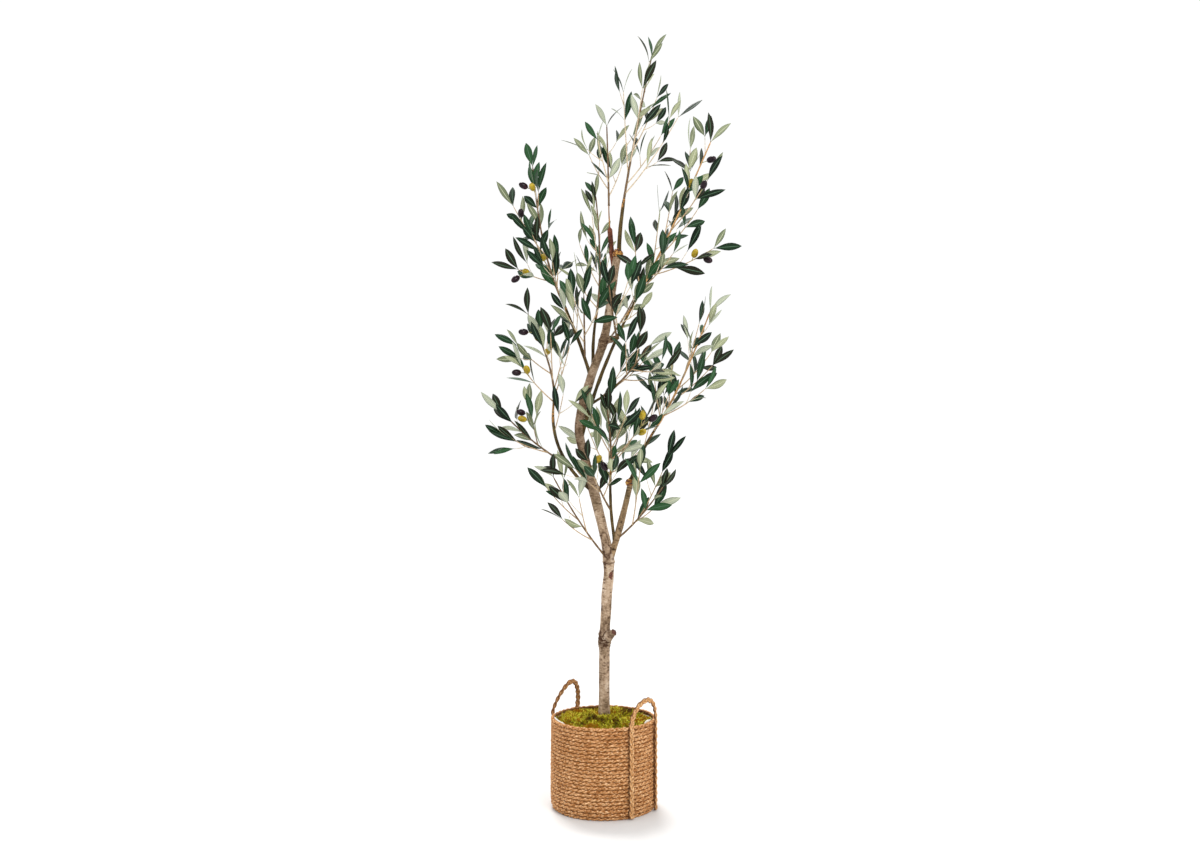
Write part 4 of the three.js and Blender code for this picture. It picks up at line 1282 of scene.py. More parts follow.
def layAllTwigs(room):
    laid = {}
    for number, (name, spray) in enumerate(sprays.items()):
        laid[name] = layTwigs(spray, Dice("twigs", number), room)
    layLimbTwigs(laid, room)
    for number, grown in enumerate(laid.values()):
        dice = Dice("twiglets", number)
        for one in grown:
            if one.level:
                one.roll = dice.roll() * math.pi
        for one in list(grown):
            grown += layTwiglets(one, dice, room)
        for one in grown:
            if one.level == 2:
                one.roll = dice.roll() * math.pi
    return laid


crownRoom = Room()
takeLimbs(crownRoom)
twigs = layAllTwigs(crownRoom)
print("twigs laid:", sum(len(laid) for laid in twigs.values()))


def twigFinish(name, code):
    made = Finish(name, Roughness=0.6)
    scale, dimmer, brighter = twig["speckle"]
    speckle = made.noise(made.place(), scale)
    tone = paint(code)
    dim = (*[part * dimmer for part in tone[:3]], 1)
    pale = (*[min(1, part * brighter) for part in tone[:3]], 1)
    made.set("Base Color", made.ramp(speckle, list(zip(twig["speckleStops"], (dim, tone, pale)))))
    made.bump(speckle, 0.3, 0.4)
    return made


def makeTwigs():
    finishes = [twigFinish(name, code) for name, code in twig["tints"].items()]
    cream, tan = (list(twig["tints"]).index(name) for name in ("creamBark", "tanTwig"))
    ripple, wave = twig["ripple"]
    knuckle, knuckleReach = twig["knuckle"]
    heap = Heap()
    for name, laid in twigs.items():
        for one in laid:
            tint = one.level
            if one.level and name in twig["creamSprays"]:
                tint = cream
            elif not one.level and name in twig["tanSprays"]:
                tint = tan
            shares, reach = evenShares(one.curve, twig["ringGap"])
            swell = 1 + ripple * np.sin(reach / wave + one.number)
            swell = swell + knuckle * np.exp(-reach / knuckleReach) * (one.level > 0)
            radii = one.radiusAt(shares) * twig["slim"][one.level] * swell
            rings = ringsAlong(one.curve.at(shares), radii, twig["sides"], one.curve.along(shares))
            heap.add(*skin(rings), tint)
    heap.piece("twigs", finishes, "foliage", list(sprays))


makeTwigs()


# Olives: each at its place in front of the twig that passes nearest, on a stalk from a little further down

olive = {
    "length": 21,
    "width": 13.6,
    "plump": 1.15,
    "sides": 20,
    "rows": 16,
    "poleGap": 0.05,
    "round": 0.92,
    "taper": 0.06,
    "nib": (0.9, 1.6),  # the last two rows, at the far end
    "lineInset": 0.4,  # of the width, from each end to the line that stands for an olive
    "forward": (14, 24, 34),  # from the twig, tried in turn
    "twigShares": (0.2, 0.97, 0.01),  # where a twig is looked at: first, last and step
    "stalkRadius": 0.9,
    "stalkSwell": np.array([1.5, 1, 0.9, 0.9, 1, 1.5]),
    "stalkSides": 8,
    "stalkSlant": 12,  # from the nearest place of the twig down to the stalk's foot
    "stalkFrom": 0.15,
    "stalkLeast": 5,
    "stalkSunk": 1,  # how far it goes into the olive
    "stalkTint": "8f8a4e",
}
ripeLook = {"noise": (90,), "stops": (0.35, 0.6, 0.8), "tints": ("12060e", "230e19", "452230")}
greenLook = {"noise": (70,), "stops": (0.3, 0.52, 0.75), "tints": ("6c5a05", "9c840d", "cdb22b")}


# the twig that passes nearest to a place in the front view, and where along it
def nearestTwig(laid, across, height):
    nearest = (math.inf, None, 0)
    shares = np.arange(*olive["twigShares"])
    for one in laid:
        if one.level < 2:
            points = one.curve.at(shares)
            gaps = np.hypot(points[:, 0] - across, points[:, 2] - height)
            best = int(gaps.argmin())
            if gaps[best] < nearest[0]:
                nearest = (gaps[best], one, shares[best])
    return nearest[1:]


def layOlive(laid, across, height, room):
    one, share = nearestTwig(laid, across, height)
    root = one.curve.at(max(olive["stalkFrom"], share - olive["stalkSlant"] / one.length))
    inset = olive["width"] * olive["lineInset"]
    for forward in olive["forward"]:
        hang = np.array([across, root[1] - forward, height]) - root
        stalk = max(olive["stalkLeast"], np.linalg.norm(hang) - olive["length"] / 2)
        hang = unit(hang)
        line = np.array([[root + hang * end for end in (stalk + inset, stalk + olive["length"] - inset)]])
        if room.free(line, olive["width"] / 2, one.number):
            room.take(line, olive["width"] / 2)
            return {"root": root, "hang": hang, "stalk": stalk}
    return None


# rings about the straight line on which an olive hangs
def hangingRings(made, reach, radii, sides):
    path = made["root"] + reach[:, None] * made["hang"]
    return ringsAlong(path, radii, sides, np.broadcast_to(made["hang"], path.shape))


def oliveRings(made):
    tilt = np.linspace(olive["poleGap"], math.pi - olive["poleGap"], olive["rows"])
    reach = made["stalk"] + (1 - olive["plump"] * np.cos(tilt)) * olive["length"] / 2
    wide = np.sin(tilt) ** olive["round"] * olive["plump"] * olive["width"] / 2
    wide = wide * (1 + olive["taper"] * np.cos(tilt))
    wide[-2:] *= olive["nib"]
    return hangingRings(made, reach, wide, olive["sides"])


def stalkRings(made):
    reach = np.linspace(0, made["stalk"] + olive["stalkSunk"], len(olive["stalkSwell"]))
    return hangingRings(made, reach, olive["stalkRadius"] * olive["stalkSwell"], olive["stalkSides"])


def makeOlives(room):
    stalks = plainFinish("oliveStalk", olive["stalkTint"], Roughness=0.6)
    ripe = cloudFinish("ripeOlive", ripeLook, Roughness=0.18, Specular_IOR_Level=0.22)
    green = cloudFinish("greenOlive", greenLook, Roughness=0.28, Specular_IOR_Level=0.4)
    heaps = {True: Heap(), False: Heap()}
    for name, laid in twigs.items():
        for across, height, isRipe in sprays[name].get("olives", ()):
            made = layOlive(laid, across, height, room)
            if made:
                heaps[isRipe].add(*skin(oliveRings(made)), 0)
                heaps[isRipe].add(*skin(stalkRings(made)), 1)
    nodes = [name for name, spray in sprays.items() if "olives" in spray]
    heaps[True].piece("ripeOlives", [ripe, stalks], "foliage", nodes)
    heaps[False].piece("greenOlives", [green, stalks], "foliage", nodes)


makeOlives(crownRoom)


# Leaves: opposite pairs, each a quarter turn from the next; upper sides mostly look out and up

leaf = {
    "length": (50, 73),
    "width": (14.5, 20.5),
    "slim": 1.0,
    "thickness": 0.5,
    "tipGap": 3,
    "pairGap": 42,
    "leastShare": 0.05,  # of the twig, below which there are no leaves
    "spread": (0.36, 0.86),
    "tipSpread": (0.18, 0.5),
    "curl": (-0.08, 0.28),
    "sway": (-0.14, 0.14),
    "fold": (0.08, 0.3),  # rise of the blade's edges over its rib, as a share of the half width
    "stray": (-0.35, 0.35),
    "room": 1.5,
    "tries": 6,
    "mostPairs": 100,  # on a twig, which keeps the keys of pairs apart
    "lineShares": (0.08, 0.45),  # of its length where the lines that stand for it start and are broadest
    "skyShares": (0.35, 0.65, 1),  # of its length that are kept out of the openings
    "rows": 9,
    "rowBias": 0.92,
    "columns": np.array([-1, -0.5, -0.08, 0.08, 0.5, 1]),
    "ribHalf": 0.1,
    "ribRise": 0.25,
    "stalk": (0.07, 0.12, 0.075),  # where the blade starts, where the stalk ends, and the stalk's half width
    "outline": (1.16, 0.86),  # how far the broadest place is moved to the tip, and how full the blade is
    "outward": 0.55,  # weights of what a leaf's broad side looks towards
    "skyward": 0.3,
    "twigward": 0.2,
    "forward": 0.48,
    "backFrom": 72,  # depth beyond which leaves look to the back instead
    "wild": 0.6,
    "turned": 0.24,  # share of leaves that show their under side instead
    "newShade": 0.3,  # share of leaves that change the shade of their twig
    "splitHeight": 1160,  # between the two pieces
    "sky": [  # openings seen from the front: across, height, half width and half height
        (-86, 1394, 26, 85), (101, 1460, 28, 60), (-71, 1049, 23, 48), (-73, 918, 16, 40),
        (125, 1156, 30, 48),
    ],
    "uppers": ("081c0c", "102a14", "18371c", "264c2a", "1b1e0d"),
    "unders": ("6a7555", "848d6c", "9da480", "a6ae98"),
    "upperRib": "3f6246",
    "underRib": "c3c6a8",
}
habits = {  # what a spray does in its own way
    "leaves_top": {"pairGap": 64, "turned": 0.42, "slim": 0.8, "forward": 0.75, "backFrom": 104},
    "leaves_top_left": {"pairGap": 62, "slim": 0.9},
    "leaves_back_left": {"pairGap": 66, "turned": 0.7, "slim": 0.66},
    "leaves_inner_left": {"pairGap": 41, "turned": 0.12, "forward": 0.7},
    "leaves_upper_left": {"turned": 0.1, "forward": 0.95, "wild": 0.4, "backFrom": 104},
    "leaves_upper_right": {"pairGap": 49, "turned": 0.3, "forward": 0.6},
    "leaves_mid_left": {"pairGap": 46, "turned": 0.3},
    "leaves_low_left_arm": {"pairGap": 33, "turned": 0.2, "spread": (0.15, 0.42), "tipSpread": (0.12, 0.3)},
    "leaves_low_left": {"pairGap": 66, "turned": 0.45},
    "leaves_low_right": {"pairGap": 34, "turned": 0.28, "forward": 0.7},
    "leaves_right": {"pairGap": 50, "turned": 0.2, "forward": 0.8, "wild": 0.45, "backFrom": 104},
    "leaves_middle": {"turned": 0.14},
    "leaves_low_middle": {"pairGap": 41, "turned": 0.34},
    "leaves_front_mid": {"pairGap": 60},
}


def drawLeaf(laid, share, turn, atTip, habit, dice):
    tangent = laid.curve.along(share)
    side, front = squareTo(tangent)
    turn = turn + dice.pick(leaf["stray"])
    outward = side * math.cos(turn) + front * math.sin(turn)
    angle = dice.pick(habit["tipSpread"] if atTip else habit["spread"])
    along = unit(tangent * math.cos(angle) + outward * math.sin(angle))
    root = laid.curve.at(share)
    trunk = limbs["trunk"]["curve"]
    away = (root - trunk.at(shareAtHeight(trunk, root[2]))) * flatten
    away = away / max(np.linalg.norm(away), 1)
    wild = unit(np.array([dice.roll() - 0.5, dice.roll() - 0.5, dice.roll() - 0.5]))
    look = leaf["outward"] * away + leaf["skyward"] * up + leaf["twigward"] * tangent + habit["wild"] * wild
    look = look + np.array([0, math.copysign(habit["forward"], root[1] - habit["backFrom"]), 0])
    if dice.roll() < habit["turned"]:
        look = 2 * leaf["skyward"] * up - look
    face = unit(look - along * (look @ along))
    return {
        "root": root,
        "along": along,
        "face": face,
        "across": np.cross(along, face),
        "length": dice.pick(leaf["length"]),
        "width": dice.pick(leaf["width"]) * habit["slim"],
        "curl": dice.pick(leaf["curl"]),
        "sway": dice.pick(leaf["sway"]),
        "fold": dice.pick(leaf["fold"]),
    }


def leafPoint(made, share, aside=0.0):
    bend = -made["curl"] * made["length"] * share * share
    drift = made["sway"] * made["length"] * share * share
    straight = made["root"] + made["along"] * made["length"] * share
    return straight + made["face"] * bend + made["across"] * (aside + drift)


# the lines that stand for a leaf where room is measured: its middle and both edges
def leafLines(made):
    lines = []
    start, broadest = leaf["lineShares"]
    for edge in (-0.5, 0, 0.5):
        points = [leafPoint(made, start), leafPoint(made, broadest, edge * made["width"]), leafPoint(made, 1)]
        lines += [points[:2], points[1:]]
    return np.array(lines)


def inSky(made):
    points = np.array([leafPoint(made, share) for share in leaf["skyShares"]])
    for across, height, wide, tall in leaf["sky"]:
        if (((points[:, 0] - across) / wide) ** 2 + ((points[:, 2] - height) / tall) ** 2 < 1).any():
            return True
    return False


# draws a leaf again until it has room, a few times at most
def layLeaf(laid, share, turn, pair, habit, dice, room):
    key = laid.number * leaf["mostPairs"] + pair
    for _ in range(leaf["tries"]):
        one = drawLeaf(laid, share, turn, pair == 0, habit, dice)
        if inSky(one):
            continue
        lines = leafLines(one)
        if room.free(lines, leaf["room"], laid.number, key):
            room.take(lines, leaf["room"], -1, key)
            return [one]
    return []


def layLeaves(laid, habit, dice, room):
    made = []
    gap = habit["pairGap"]
    pairs = max(1, round(laid.length * (1 - laid.bare) / gap))
    for pair in range(pairs):
        share = 1 - (pair * gap + leaf["tipGap"]) / laid.length
        if share >= leaf["leastShare"]:
            for half in (0, math.pi):
                turn = laid.roll + pair * math.pi / 2 + half
                made += layLeaf(laid, share, turn, pair, habit, dice, room)
    return made


def leafOutline(share):
    start, end, stalk = leaf["stalk"]
    shift, full = leaf["outline"]
    wide = np.sin(math.pi * climb(share, start, 1 - start) ** shift) ** full
    return np.maximum(wide, np.where(share < end, stalk, 0.0))


# upper and under side share their edges; the narrow middle strip is the rib
def leafMesh(made):
    rows = np.linspace(0, 1, leaf["rows"]) ** leaf["rowBias"]
    rows[1] = leaf["stalk"][0]
    columns = leaf["columns"]
    half = leafOutline(rows) * made["width"] / 2
    middle = np.array([leafPoint(made, share) for share in rows])
    lift = np.abs(columns)[None] * half[:, None] * made["fold"]
    rib = np.where(np.abs(columns) < leaf["ribHalf"], leaf["ribRise"], 0)[None]
    top = middle[:, None] + made["across"] * (columns[None] * half[:, None])[..., None]
    top = top + made["face"] * (lift + rib)[..., None]
    inner = top[:, 1:-1] - made["face"] * leaf["thickness"]
    count, wide = len(rows), len(columns)
    points = np.concatenate([top.reshape(-1, 3), inner.reshape(-1, 3)])
    over = np.arange(count * wide).reshape(count, wide)
    under = over.copy()
    under[:, 1:-1] = count * wide + np.arange(count * (wide - 2)).reshape(count, wide - 2)
    upper = np.stack([over[:-1, :-1], over[:-1, 1:], over[1:, 1:], over[1:, :-1]], -1)
    lower = np.stack([under[:-1, :-1], under[1:, :-1], under[1:, 1:], under[:-1, 1:]], -1)
    blade = [0, 1, 3, 4]  # strips beside the rib, which is strip 2
    blocks = []
    for side in (upper, lower):
        blocks += [side[:, blade].reshape(-1, 4), side[:, 2]]
    return points, blocks


def makeLeaves(room):
    uppers = plainFinishes("leafUpper", leaf["uppers"], Roughness=0.42, Specular_IOR_Level=0.16)
    unders = plainFinishes("leafUnder", leaf["unders"], Roughness=0.65)
    upperRib = plainFinish("upperRib", leaf["upperRib"], Roughness=0.55)
    underRib = plainFinish("underRib", leaf["underRib"], Roughness=0.6)
    firstRib = len(uppers) + len(unders)
    heaps = {"leavesLower": Heap(), "leavesUpper": Heap()}
    total = 0
    for number, (name, laid) in enumerate(twigs.items()):
        dice = Dice("leaves", number)
        habit = {**leaf, **habits.get(name, {})}
        for one in laid:
            shade = int(dice.roll() * len(uppers))
            for made in layLeaves(one, habit, dice, room):
                if dice.roll() < leaf["newShade"]:
                    shade = int(dice.roll() * len(uppers))
                under = len(uppers) + int(dice.roll() * len(unders))
                heap = heaps["leavesUpper" if made["root"][2] > leaf["splitHeight"] else "leavesLower"]
                heap.add(*leafMesh(made), [shade, firstRib, under, firstRib + 1])
                total += 1
    for name, heap in heaps.items():
        heap.piece(name, [*uppers, *unders, upperRib, underRib], "foliage", list(sprays))
    print("leaves:", total)


makeLeaves(crownRoom)


# Basket: closed rows of two-strand rope on a dark core, whose tint is painted shade in the gaps between rows

basket = {
    "height": 213,
    "rows": 24,
    "bellyRadius": 126.5,
    "rimRadius": 125,
    "footTuck": 7,
    "footTuckHeight": 22,
}
rope = {
    "strand": 3.1,
    "offset": 1.55,  # from the rope's middle to the middle of each strand
    "pitch": 31,  # along the rope for one whole twist
    "stepsPerPitch": 16,
    "corners": 12,
    "wander": (5, 21, 0.55),  # how fine, the seed, and how far
    "lift": (4, 33, 0.35),
    "swell": (14, 45, 0.07),
    "unevenTwist": (9, 63, 0.8),
    "rowTwist": 2.1,
    "rowNoise": 3.7,
    "clear": 0.1,  # lowest point over the floor
    "cleft": (3.4, 0.62),  # reach from the rope's middle below which it is a cleft, and how dark the painted shade there is
    "inside": (0.1, 0.9),  # partly painted shade and partly the inside's own darker tone: the rope is darker towards the moss
}
fibreLook = {
    "broad": {"scale": 38, "roughness": 0.6, "share": 0.14},
    "fine": {"scale": 300, "roughness": 0.7, "share": 0.86},
    "stops": (0.36, 0.46, 0.53, 0.63),
    "bump": (0.7, 0.7),
    "tints": {  # dark to pale, the tint of the painted shade in the clefts, and how the fine noise is stretched
        "ropeFibre": (("733f12", "a46a36", "cf9864", "f5d2a5"), "4c2609", (0.6, 0.6, 2)),
        "plaitFibre": (("8a5526", "b67f4b", "d6a571", "f2d3a8"), "4e280a", (2, 2, 0.7)),
    },
}
# the core's tint is painted shade, seen in the gaps between rows
core = {"heights": (3, 208, 42), "half": 1.2, "sides": 96, "tint": "6b431d"}  # first, last and number
base = {
    "radii": (1, 113, 113),  # first, last and number
    "low": 0.6,
    "groove": 1.4,
    "rowGap": 8.9,
    "top": 8.5,
    "topStep": 8,
    "sides": 96,
}
film = {  # the liner, which shows along the rim
    "radii": (116.9, 116.5),
    "heights": (180, 203, 13),  # first, last and number
    "sides": 240,
    "crumpled": (190, 13),  # the height where it starts, and the span to where it is full
    "peaks": ((-68, 24), (64, 13)),  # where it stands up: degrees to the right of the front, and half width
    "peak": 1.3,
    "wave": (0.05, 0.12, 71),  # how fine, how much, and the seed
    "waveHeight": 10,
    "crease": ((0.16, 0.16, 0.1), 0.45, 77),
    "tint": "e9e4d8",
}


def wallRadius(height):
    tuck = np.maximum(0, 1 - height / basket["footTuckHeight"])
    lean = (basket["bellyRadius"] - basket["rimRadius"]) * np.maximum(0, 2 * height / basket["height"] - 1)
    return basket["bellyRadius"] - basket["footTuck"] * tuck * tuck - lean


# a point round the upright axis, by its angle to the right of the front
def roundAxis(angle, radius, height):
    return np.stack(np.broadcast_arrays(np.sin(angle) * radius, -np.cos(angle) * radius, height), -1)


# a fibrous finish; the mark is 1 where the painted shade is darkest, in the clefts between strands
def fibreFinish(name, tints, dark, stretch):
    made = Finish(name, Roughness=0.86, Specular_IOR_Level=0.22)
    look = {**fibreLook, "fine": {**fibreLook["fine"], "stretch": stretch}}
    tone, fine = made.mottle(made.place(), look, tints)
    made.set("Base Color", made.mix(made.attribute("cleft"), tone, paint(dark)))
    made.bump(fine, *fibreLook["bump"])
    return made


fibres = {name: fibreFinish(name, *look) for name, look in fibreLook["tints"].items()}


def ropeRow(row):
    height = (row + 0.5) * basket["height"] / basket["rows"]
    radius = wallRadius(height) - rope["strand"] - rope["offset"]
    twists = round(2 * math.pi * radius / rope["pitch"])
    around = turns(twists * rope["stepsPerPitch"])
    circle = np.stack([np.cos(around), np.sin(around), np.full(len(around), row * rope["rowNoise"])], -1)

    def uneven(rule):
        fine, seed, size = rope[rule]
        return size * layeredNoise(circle * (fine, fine, 1), seed, 2)

    spin = around * twists + row * rope["rowTwist"] + uneven("unevenTwist")
    own = turns(rope["corners"])
    strand, offset = rope["strand"], rope["offset"]
    reach = offset * np.abs(np.cos(own)) + np.sqrt(strand ** 2 - (offset * np.sin(own)) ** 2)
    # painted shade in the clefts between strands
    edge, dark = rope["cleft"]
    cleft = np.clip(edge - reach, 0, 1) * dark
    reach = reach[None] * (1 + uneven("swell"))[:, None]
    turn = own[None] + spin[:, None]
    wide = (radius + uneven("wander"))[:, None] + reach * np.cos(turn)
    level = np.maximum((height + uneven("lift"))[:, None] + reach * np.sin(turn), rope["clear"])
    # painted shade on the side towards the moss, partly the inside's own darker tone
    start, dark = rope["inside"]
    inside = np.clip(-np.cos(turn) - start, 0, 1) * dark
    return roundAxis(around[:, None], wide, level), np.clip(cleft[None] + inside, 0, 1).ravel()


def makeRope():
    half = basket["rows"] // 2
    for name, rows in (("ropeLower", range(half)), ("ropeUpper", range(half, basket["rows"]))):
        heap = Heap()
        for row in rows:
            rings, cleft = ropeRow(row)
            heap.add(*skin(rings, True), 0, cleft)
        heap.piece(name, [fibres["ropeFibre"]], "rope", ["basket"], "cleft")


# turns a closed profile of (radius, height) about the upright axis
def lathe(profile, sides):
    radii, heights = np.asarray(profile, float).T
    return roundAxis(turns(sides)[:, None], radii[None], heights[None])


def makeLathed(name, rings, finish):
    heap = Heap()
    heap.add(*skin(rings, True))
    heap.piece(name, [finish], "rope", ["basket"])


def makeCore():
    heights = np.linspace(*core["heights"])
    middle = wallRadius(heights) - rope["strand"] - rope["offset"]
    profile = [*zip(middle + core["half"], heights), *zip(middle[::-1] - core["half"], heights[::-1])]
    # its tint is painted shade for the gaps between rows
    finish = plainFinish("basketShadeCore", core["tint"], Roughness=0.95)
    makeLathed("basketShadeCore", lathe(profile, core["sides"]), finish)


def makeBase():
    radii = np.linspace(*base["radii"])
    row = np.array([abs(math.sin(radius * math.pi / base["rowGap"])) ** 0.5 for radius in radii])
    under = zip(radii, base["low"] - base["groove"] * row + base["groove"])
    over = [(radius, base["top"]) for radius in radii[::-base["topStep"]]]
    makeLathed("basketBase", lathe([*under, *over], base["sides"]), fibres["ropeFibre"])


def crumple(rings):
    high = climb(rings[..., 2], *film["crumpled"])
    out = unit(rings * flatten + tiny)
    facing = np.degrees(facingOf(rings))
    near = sum(np.exp(-((facing - place) / half) ** 4) for place, half in film["peaks"])
    fine, size, seed = film["wave"]
    wave = film["peak"] * near + size * layeredNoise(rings * (fine, fine, 0) + 9, seed, 3)
    fine, size, seed = film["crease"]
    crease = layeredNoise(rings * fine, seed, 2)
    rise = wave * film["waveHeight"] * high
    return rings + out * (crease * size * high)[..., None] + up * rise[..., None]


def makeFilm():
    heights = np.linspace(*film["heights"])
    outer, inner = film["radii"]
    profile = [*[(outer, height) for height in heights], *[(inner, height) for height in heights[::-1]]]
    finish = plainFinish("linerFilm", film["tint"], Roughness=0.35)
    makeLathed("linerFilm", crumple(lathe(profile, film["sides"])), finish)


makeRope()
makeCore()
makeBase()
makeFilm()


# Handles: three strands plaited flat, up the wall, over in an arch and down again

handle = {
    "halfSpread": 20.5,
    "legFoot": 4,
    "legSteps": 120,
    "archSteps": 160,
    "leanPower": 1.3,
    "radius": 129.7,
    "across": 3.6,  # how far a strand swings to each side and to the front
    "deep": 1.25,
    "strand": (3.0, 2.5),
    "strands": 3,
    "stray": (14, 0.25),
    "yarns": (5, 1.9, 0.09),  # number round a strand, their slant and their height
    "period": 50,
    "gap": 1.3,
    "sides": 14,
    "edge": (2.2, 1.2),  # the marks of painted shade: along the edges, where a strand dives, all over, and at the ends
    "dive": 0.5,
    "dark": 0.95,
    "ends": 0.5,
    "firstSeed": 50,
}
handles = {
    "handle_right": {"azimuth": 50, "rise": 56, "lean": 0},
    "handle_left": {"azimuth": 230, "rise": 70, "lean": 30},
}


def handlePath(azimuth, rise, lean):
    leg = np.linspace(handle["legFoot"], basket["height"], handle["legSteps"])[:-1]
    turn = np.linspace(0, math.pi, handle["archSteps"])
    lift = np.sin(turn)
    degrees = np.concatenate([
        np.full(len(leg), azimuth - handle["halfSpread"]),
        azimuth - handle["halfSpread"] * np.cos(turn),
        np.full(len(leg), azimuth + handle["halfSpread"]),
    ])
    radius = handle["radius"] - lean * np.concatenate([leg * 0, lift ** handle["leanPower"], leg * 0])
    height = np.concatenate([leg, basket["height"] + rise * lift, leg[::-1]])
    path = roundAxis(np.radians(degrees), radius, height)
    reach = reachAlong(path)
    wanted = np.linspace(0, reach[-1], int(reach[-1] / handle["gap"]))
    return np.stack([np.interp(wanted, reach, path[:, i]) for i in range(3)], -1), wanted


def makeHandle(name, path, reach, seed):
    tangent = unit(np.gradient(path, axis=0))
    across = unit(np.cross(path * flatten, tangent))
    deep = np.cross(tangent, across)
    turn = turns(handle["sides"])
    count, slant, rise = handle["yarns"]
    swell = 1 + rise * np.sin(turn[None] * count + reach[:, None] / slant)
    flatX = handle["strand"][0] * np.cos(turn)[None] * swell
    flatY = handle["strand"][1] * -np.sin(turn)[None] * swell
    noise = rough(np.stack([reach, reach * 0, reach * 0], -1), handle["stray"], seed)
    gain, cut = handle["edge"]
    edge = np.clip(np.abs(np.cos(turn)) * gain - cut, 0, 1)[None]
    heap = Heap()
    for strand in range(handle["strands"]):
        phase = 2 * math.pi * (reach / handle["period"] + strand / handle["strands"])
        sway = handle["across"] * np.sin(phase) + noise
        dive = handle["deep"] * np.sin(2 * phase)
        centre = path + across * sway[:, None] + deep * dive[:, None]
        along = unit(np.gradient(centre, axis=0))
        wide = unit(np.cross(deep, along))
        thick = np.cross(along, wide)
        rings = centre[:, None] + wide[:, None] * flatX[..., None] + thick[:, None] * flatY[..., None]
        # painted shade along each strand's edges and where it dives under the others
        dark = handle["dive"] * np.clip(-np.sin(2 * phase), 0, 1)[:, None]
        cleft = np.clip(edge + dark, 0, 1) * handle["dark"]
        heap.add(*skin(rings), 0, np.concatenate([cleft.ravel(), [handle["ends"]] * 2]))
    heap.piece(name + "_plait", [fibres["plaitFibre"]], "plait", [name], "cleft")


for number, (name, rule) in enumerate(handles.items()):
    makeHandle(name, *handlePath(**rule), handle["firstSeed"] + number)


# Moss: a lumpy bed with bent spikes, whose tints lie in patches

moss = {
    "edge": 116.2,
    "edgeHeight": 200,
    "seatHeight": 216,
    "seatRadius": 27,
    "lump": (24, 5),
    "lumpSeed": 91,
    "smoothSeat": (8, 24),  # radius up to which there are no lumps, and the span to where they are full
    "bedRows": 70,
    "bedSides": 160,
    "bedFoot": 9.3,
    "bedHole": 0.5,
    "noise": (70, 4, 0.65),  # the bed's own look: scale, detail and roughness
    "stops": (0.35, 0.5, 0.7),
    "tints": ("382d05", "625f10", "8e8d26"),
    "bump": (4, 0.8),
}
spike = {
    "count": 9000,
    "seed": 17,
    "area": (0.0144, 0.985),  # shares of the bed's area between which they stand
    "sunk": 1.5,
    "lean": 0.75,
    "upright": 0.2,
    "inward": (100, 16, 0.8),  # at the rim: radius where it starts, span and strength
    "length": (5, 13),
    "radius": (0.5, 1.0),
    "droop": (0.5, 0.25, 0.7),
    "bend": (0.55, 0.8),  # how far up it bends, and its radius there
    "patch": (30, 1.2, 55),  # size of the patches, how much their tints differ, and the seed
    "tuft": (5.5, 0.75),
    "tuftSeed": 58,
    "mixed": 0.28,
    "paler": 0.06,
    "shade": 0.7,  # browner towards the back and, by the next share, the right
    "shadeRight": 0.7,
    "span": 0.85,  # of the patches' value, to each side
    "tints": ("47320a", "815913", "85800c", "bbb722", "eae557", "9e6a0e"),
}


def mossTop(x, y):
    radius = np.hypot(x, y)
    share = np.clip((moss["edge"] - radius) / (moss["edge"] - moss["seatRadius"]), 0, 1)
    height = moss["edgeHeight"] + (moss["seatHeight"] - moss["edgeHeight"]) * np.sin(share * math.pi / 2)
    lumps = rough(np.stack([x, y, x * 0], -1), moss["lump"], moss["lumpSeed"], 3)
    return height + lumps * climb(radius, *moss["smoothSeat"])


def makeMossBed():
    soil = cloudFinish("mossBed", moss, Roughness=0.95, Specular_IOR_Level=0.1)
    rows, hole, edge = moss["bedRows"], moss["bedHole"], moss["edge"]
    radii = [*np.linspace(hole, edge, rows), edge, hole]
    rings = lathe([(radius, moss["bedFoot"]) for radius in radii], moss["bedSides"])
    rings[:, :rows, 2] = mossTop(rings[:, :rows, 0], rings[:, :rows, 1])
    points, blocks = skin(rings, True)
    heap = Heap()
    heap.add(points, [block[:, ::-1] for block in blocks])
    heap.piece("mossBed", [soil], "moss", ["moss"])


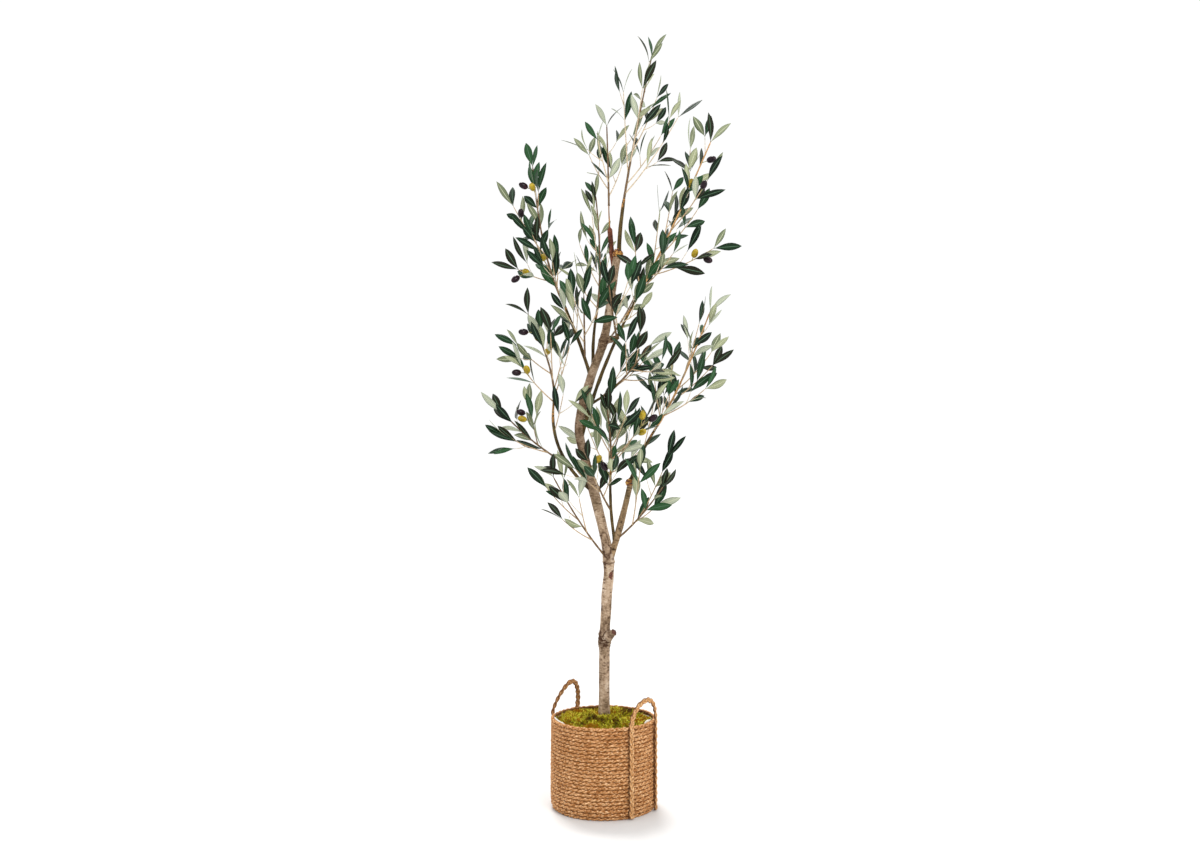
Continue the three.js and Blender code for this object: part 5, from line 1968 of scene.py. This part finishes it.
# which tint each spike has, by its place
def spikeTints(x, y, mixed):
    size, gain, seed = spike["patch"]
    patch = gain * layeredNoise(np.stack([x / size, y / size, x * 0 + 3], -1), seed, 3) + mixed
    patch = patch + rough(np.stack([x, y, x * 0], -1), spike["tuft"], spike["tuftSeed"]) + spike["paler"]
    patch = patch - spike["shade"] * np.clip((spike["shadeRight"] * x + y) / moss["edge"], 0, 1)
    count = len(spike["tints"])
    return np.clip(((patch + spike["span"]) / (2 * spike["span"]) * count).astype(int), 0, count - 1)


# three-sided spikes of seven points: a foot, a bend and a tip
def makeSpikes():
    random = np.random.default_rng(spike["seed"])
    count = spike["count"]
    radius = moss["edge"] * np.sqrt(random.uniform(*spike["area"], count))
    around = random.uniform(0, 2 * math.pi, count)
    x, y = radius * np.sin(around), -radius * np.cos(around)
    root = np.stack([x, y, mossTop(x, y) - spike["sunk"]], -1)
    lean = random.normal(0, spike["lean"], (count, 3)) * (1, 1, spike["upright"]) + up
    start, span, strength = spike["inward"]
    inward = -climb(radius, start, span)[:, None] * unit(root * flatten)
    lean = unit(lean + inward * strength)
    length = random.uniform(*spike["length"], count)[:, None]
    stray, sink, strength = spike["droop"]
    droop = random.normal(0, stray, (count, 3)) - (0, 0, sink)
    thick = random.uniform(*spike["radius"], count)[:, None, None]
    tint = spikeTints(x, y, random.normal(0, spike["mixed"], count))
    spoke = spokes(lean, turns(3))
    share, slim = spike["bend"]
    low = root[:, None] + spoke * thick
    middle = (root + lean * length * share)[:, None] + spoke * thick * slim
    tip = root + unit(lean + droop * strength) * length
    points = np.concatenate([low, middle, tip[:, None]], 1).reshape(-1, 3)
    first = np.arange(count)[:, None] * 7
    sides = np.concatenate([first + [k, k + 3, (k + 1) % 3 + 3, (k + 1) % 3] for k in range(3)])
    tips = np.concatenate([first + [k + 3, 6, (k + 1) % 3 + 3] for k in range(3)])
    heap = Heap()
    heap.add(points, [sides, tips], [np.tile(tint, 3), np.tile(tint, 3)])
    finishes = plainFinishes("moss", spike["tints"], Roughness=0.95, Specular_IOR_Level=0.1)
    heap.piece("mossSpikes", finishes, "moss", ["moss"])


makeMossBed()
makeSpikes()
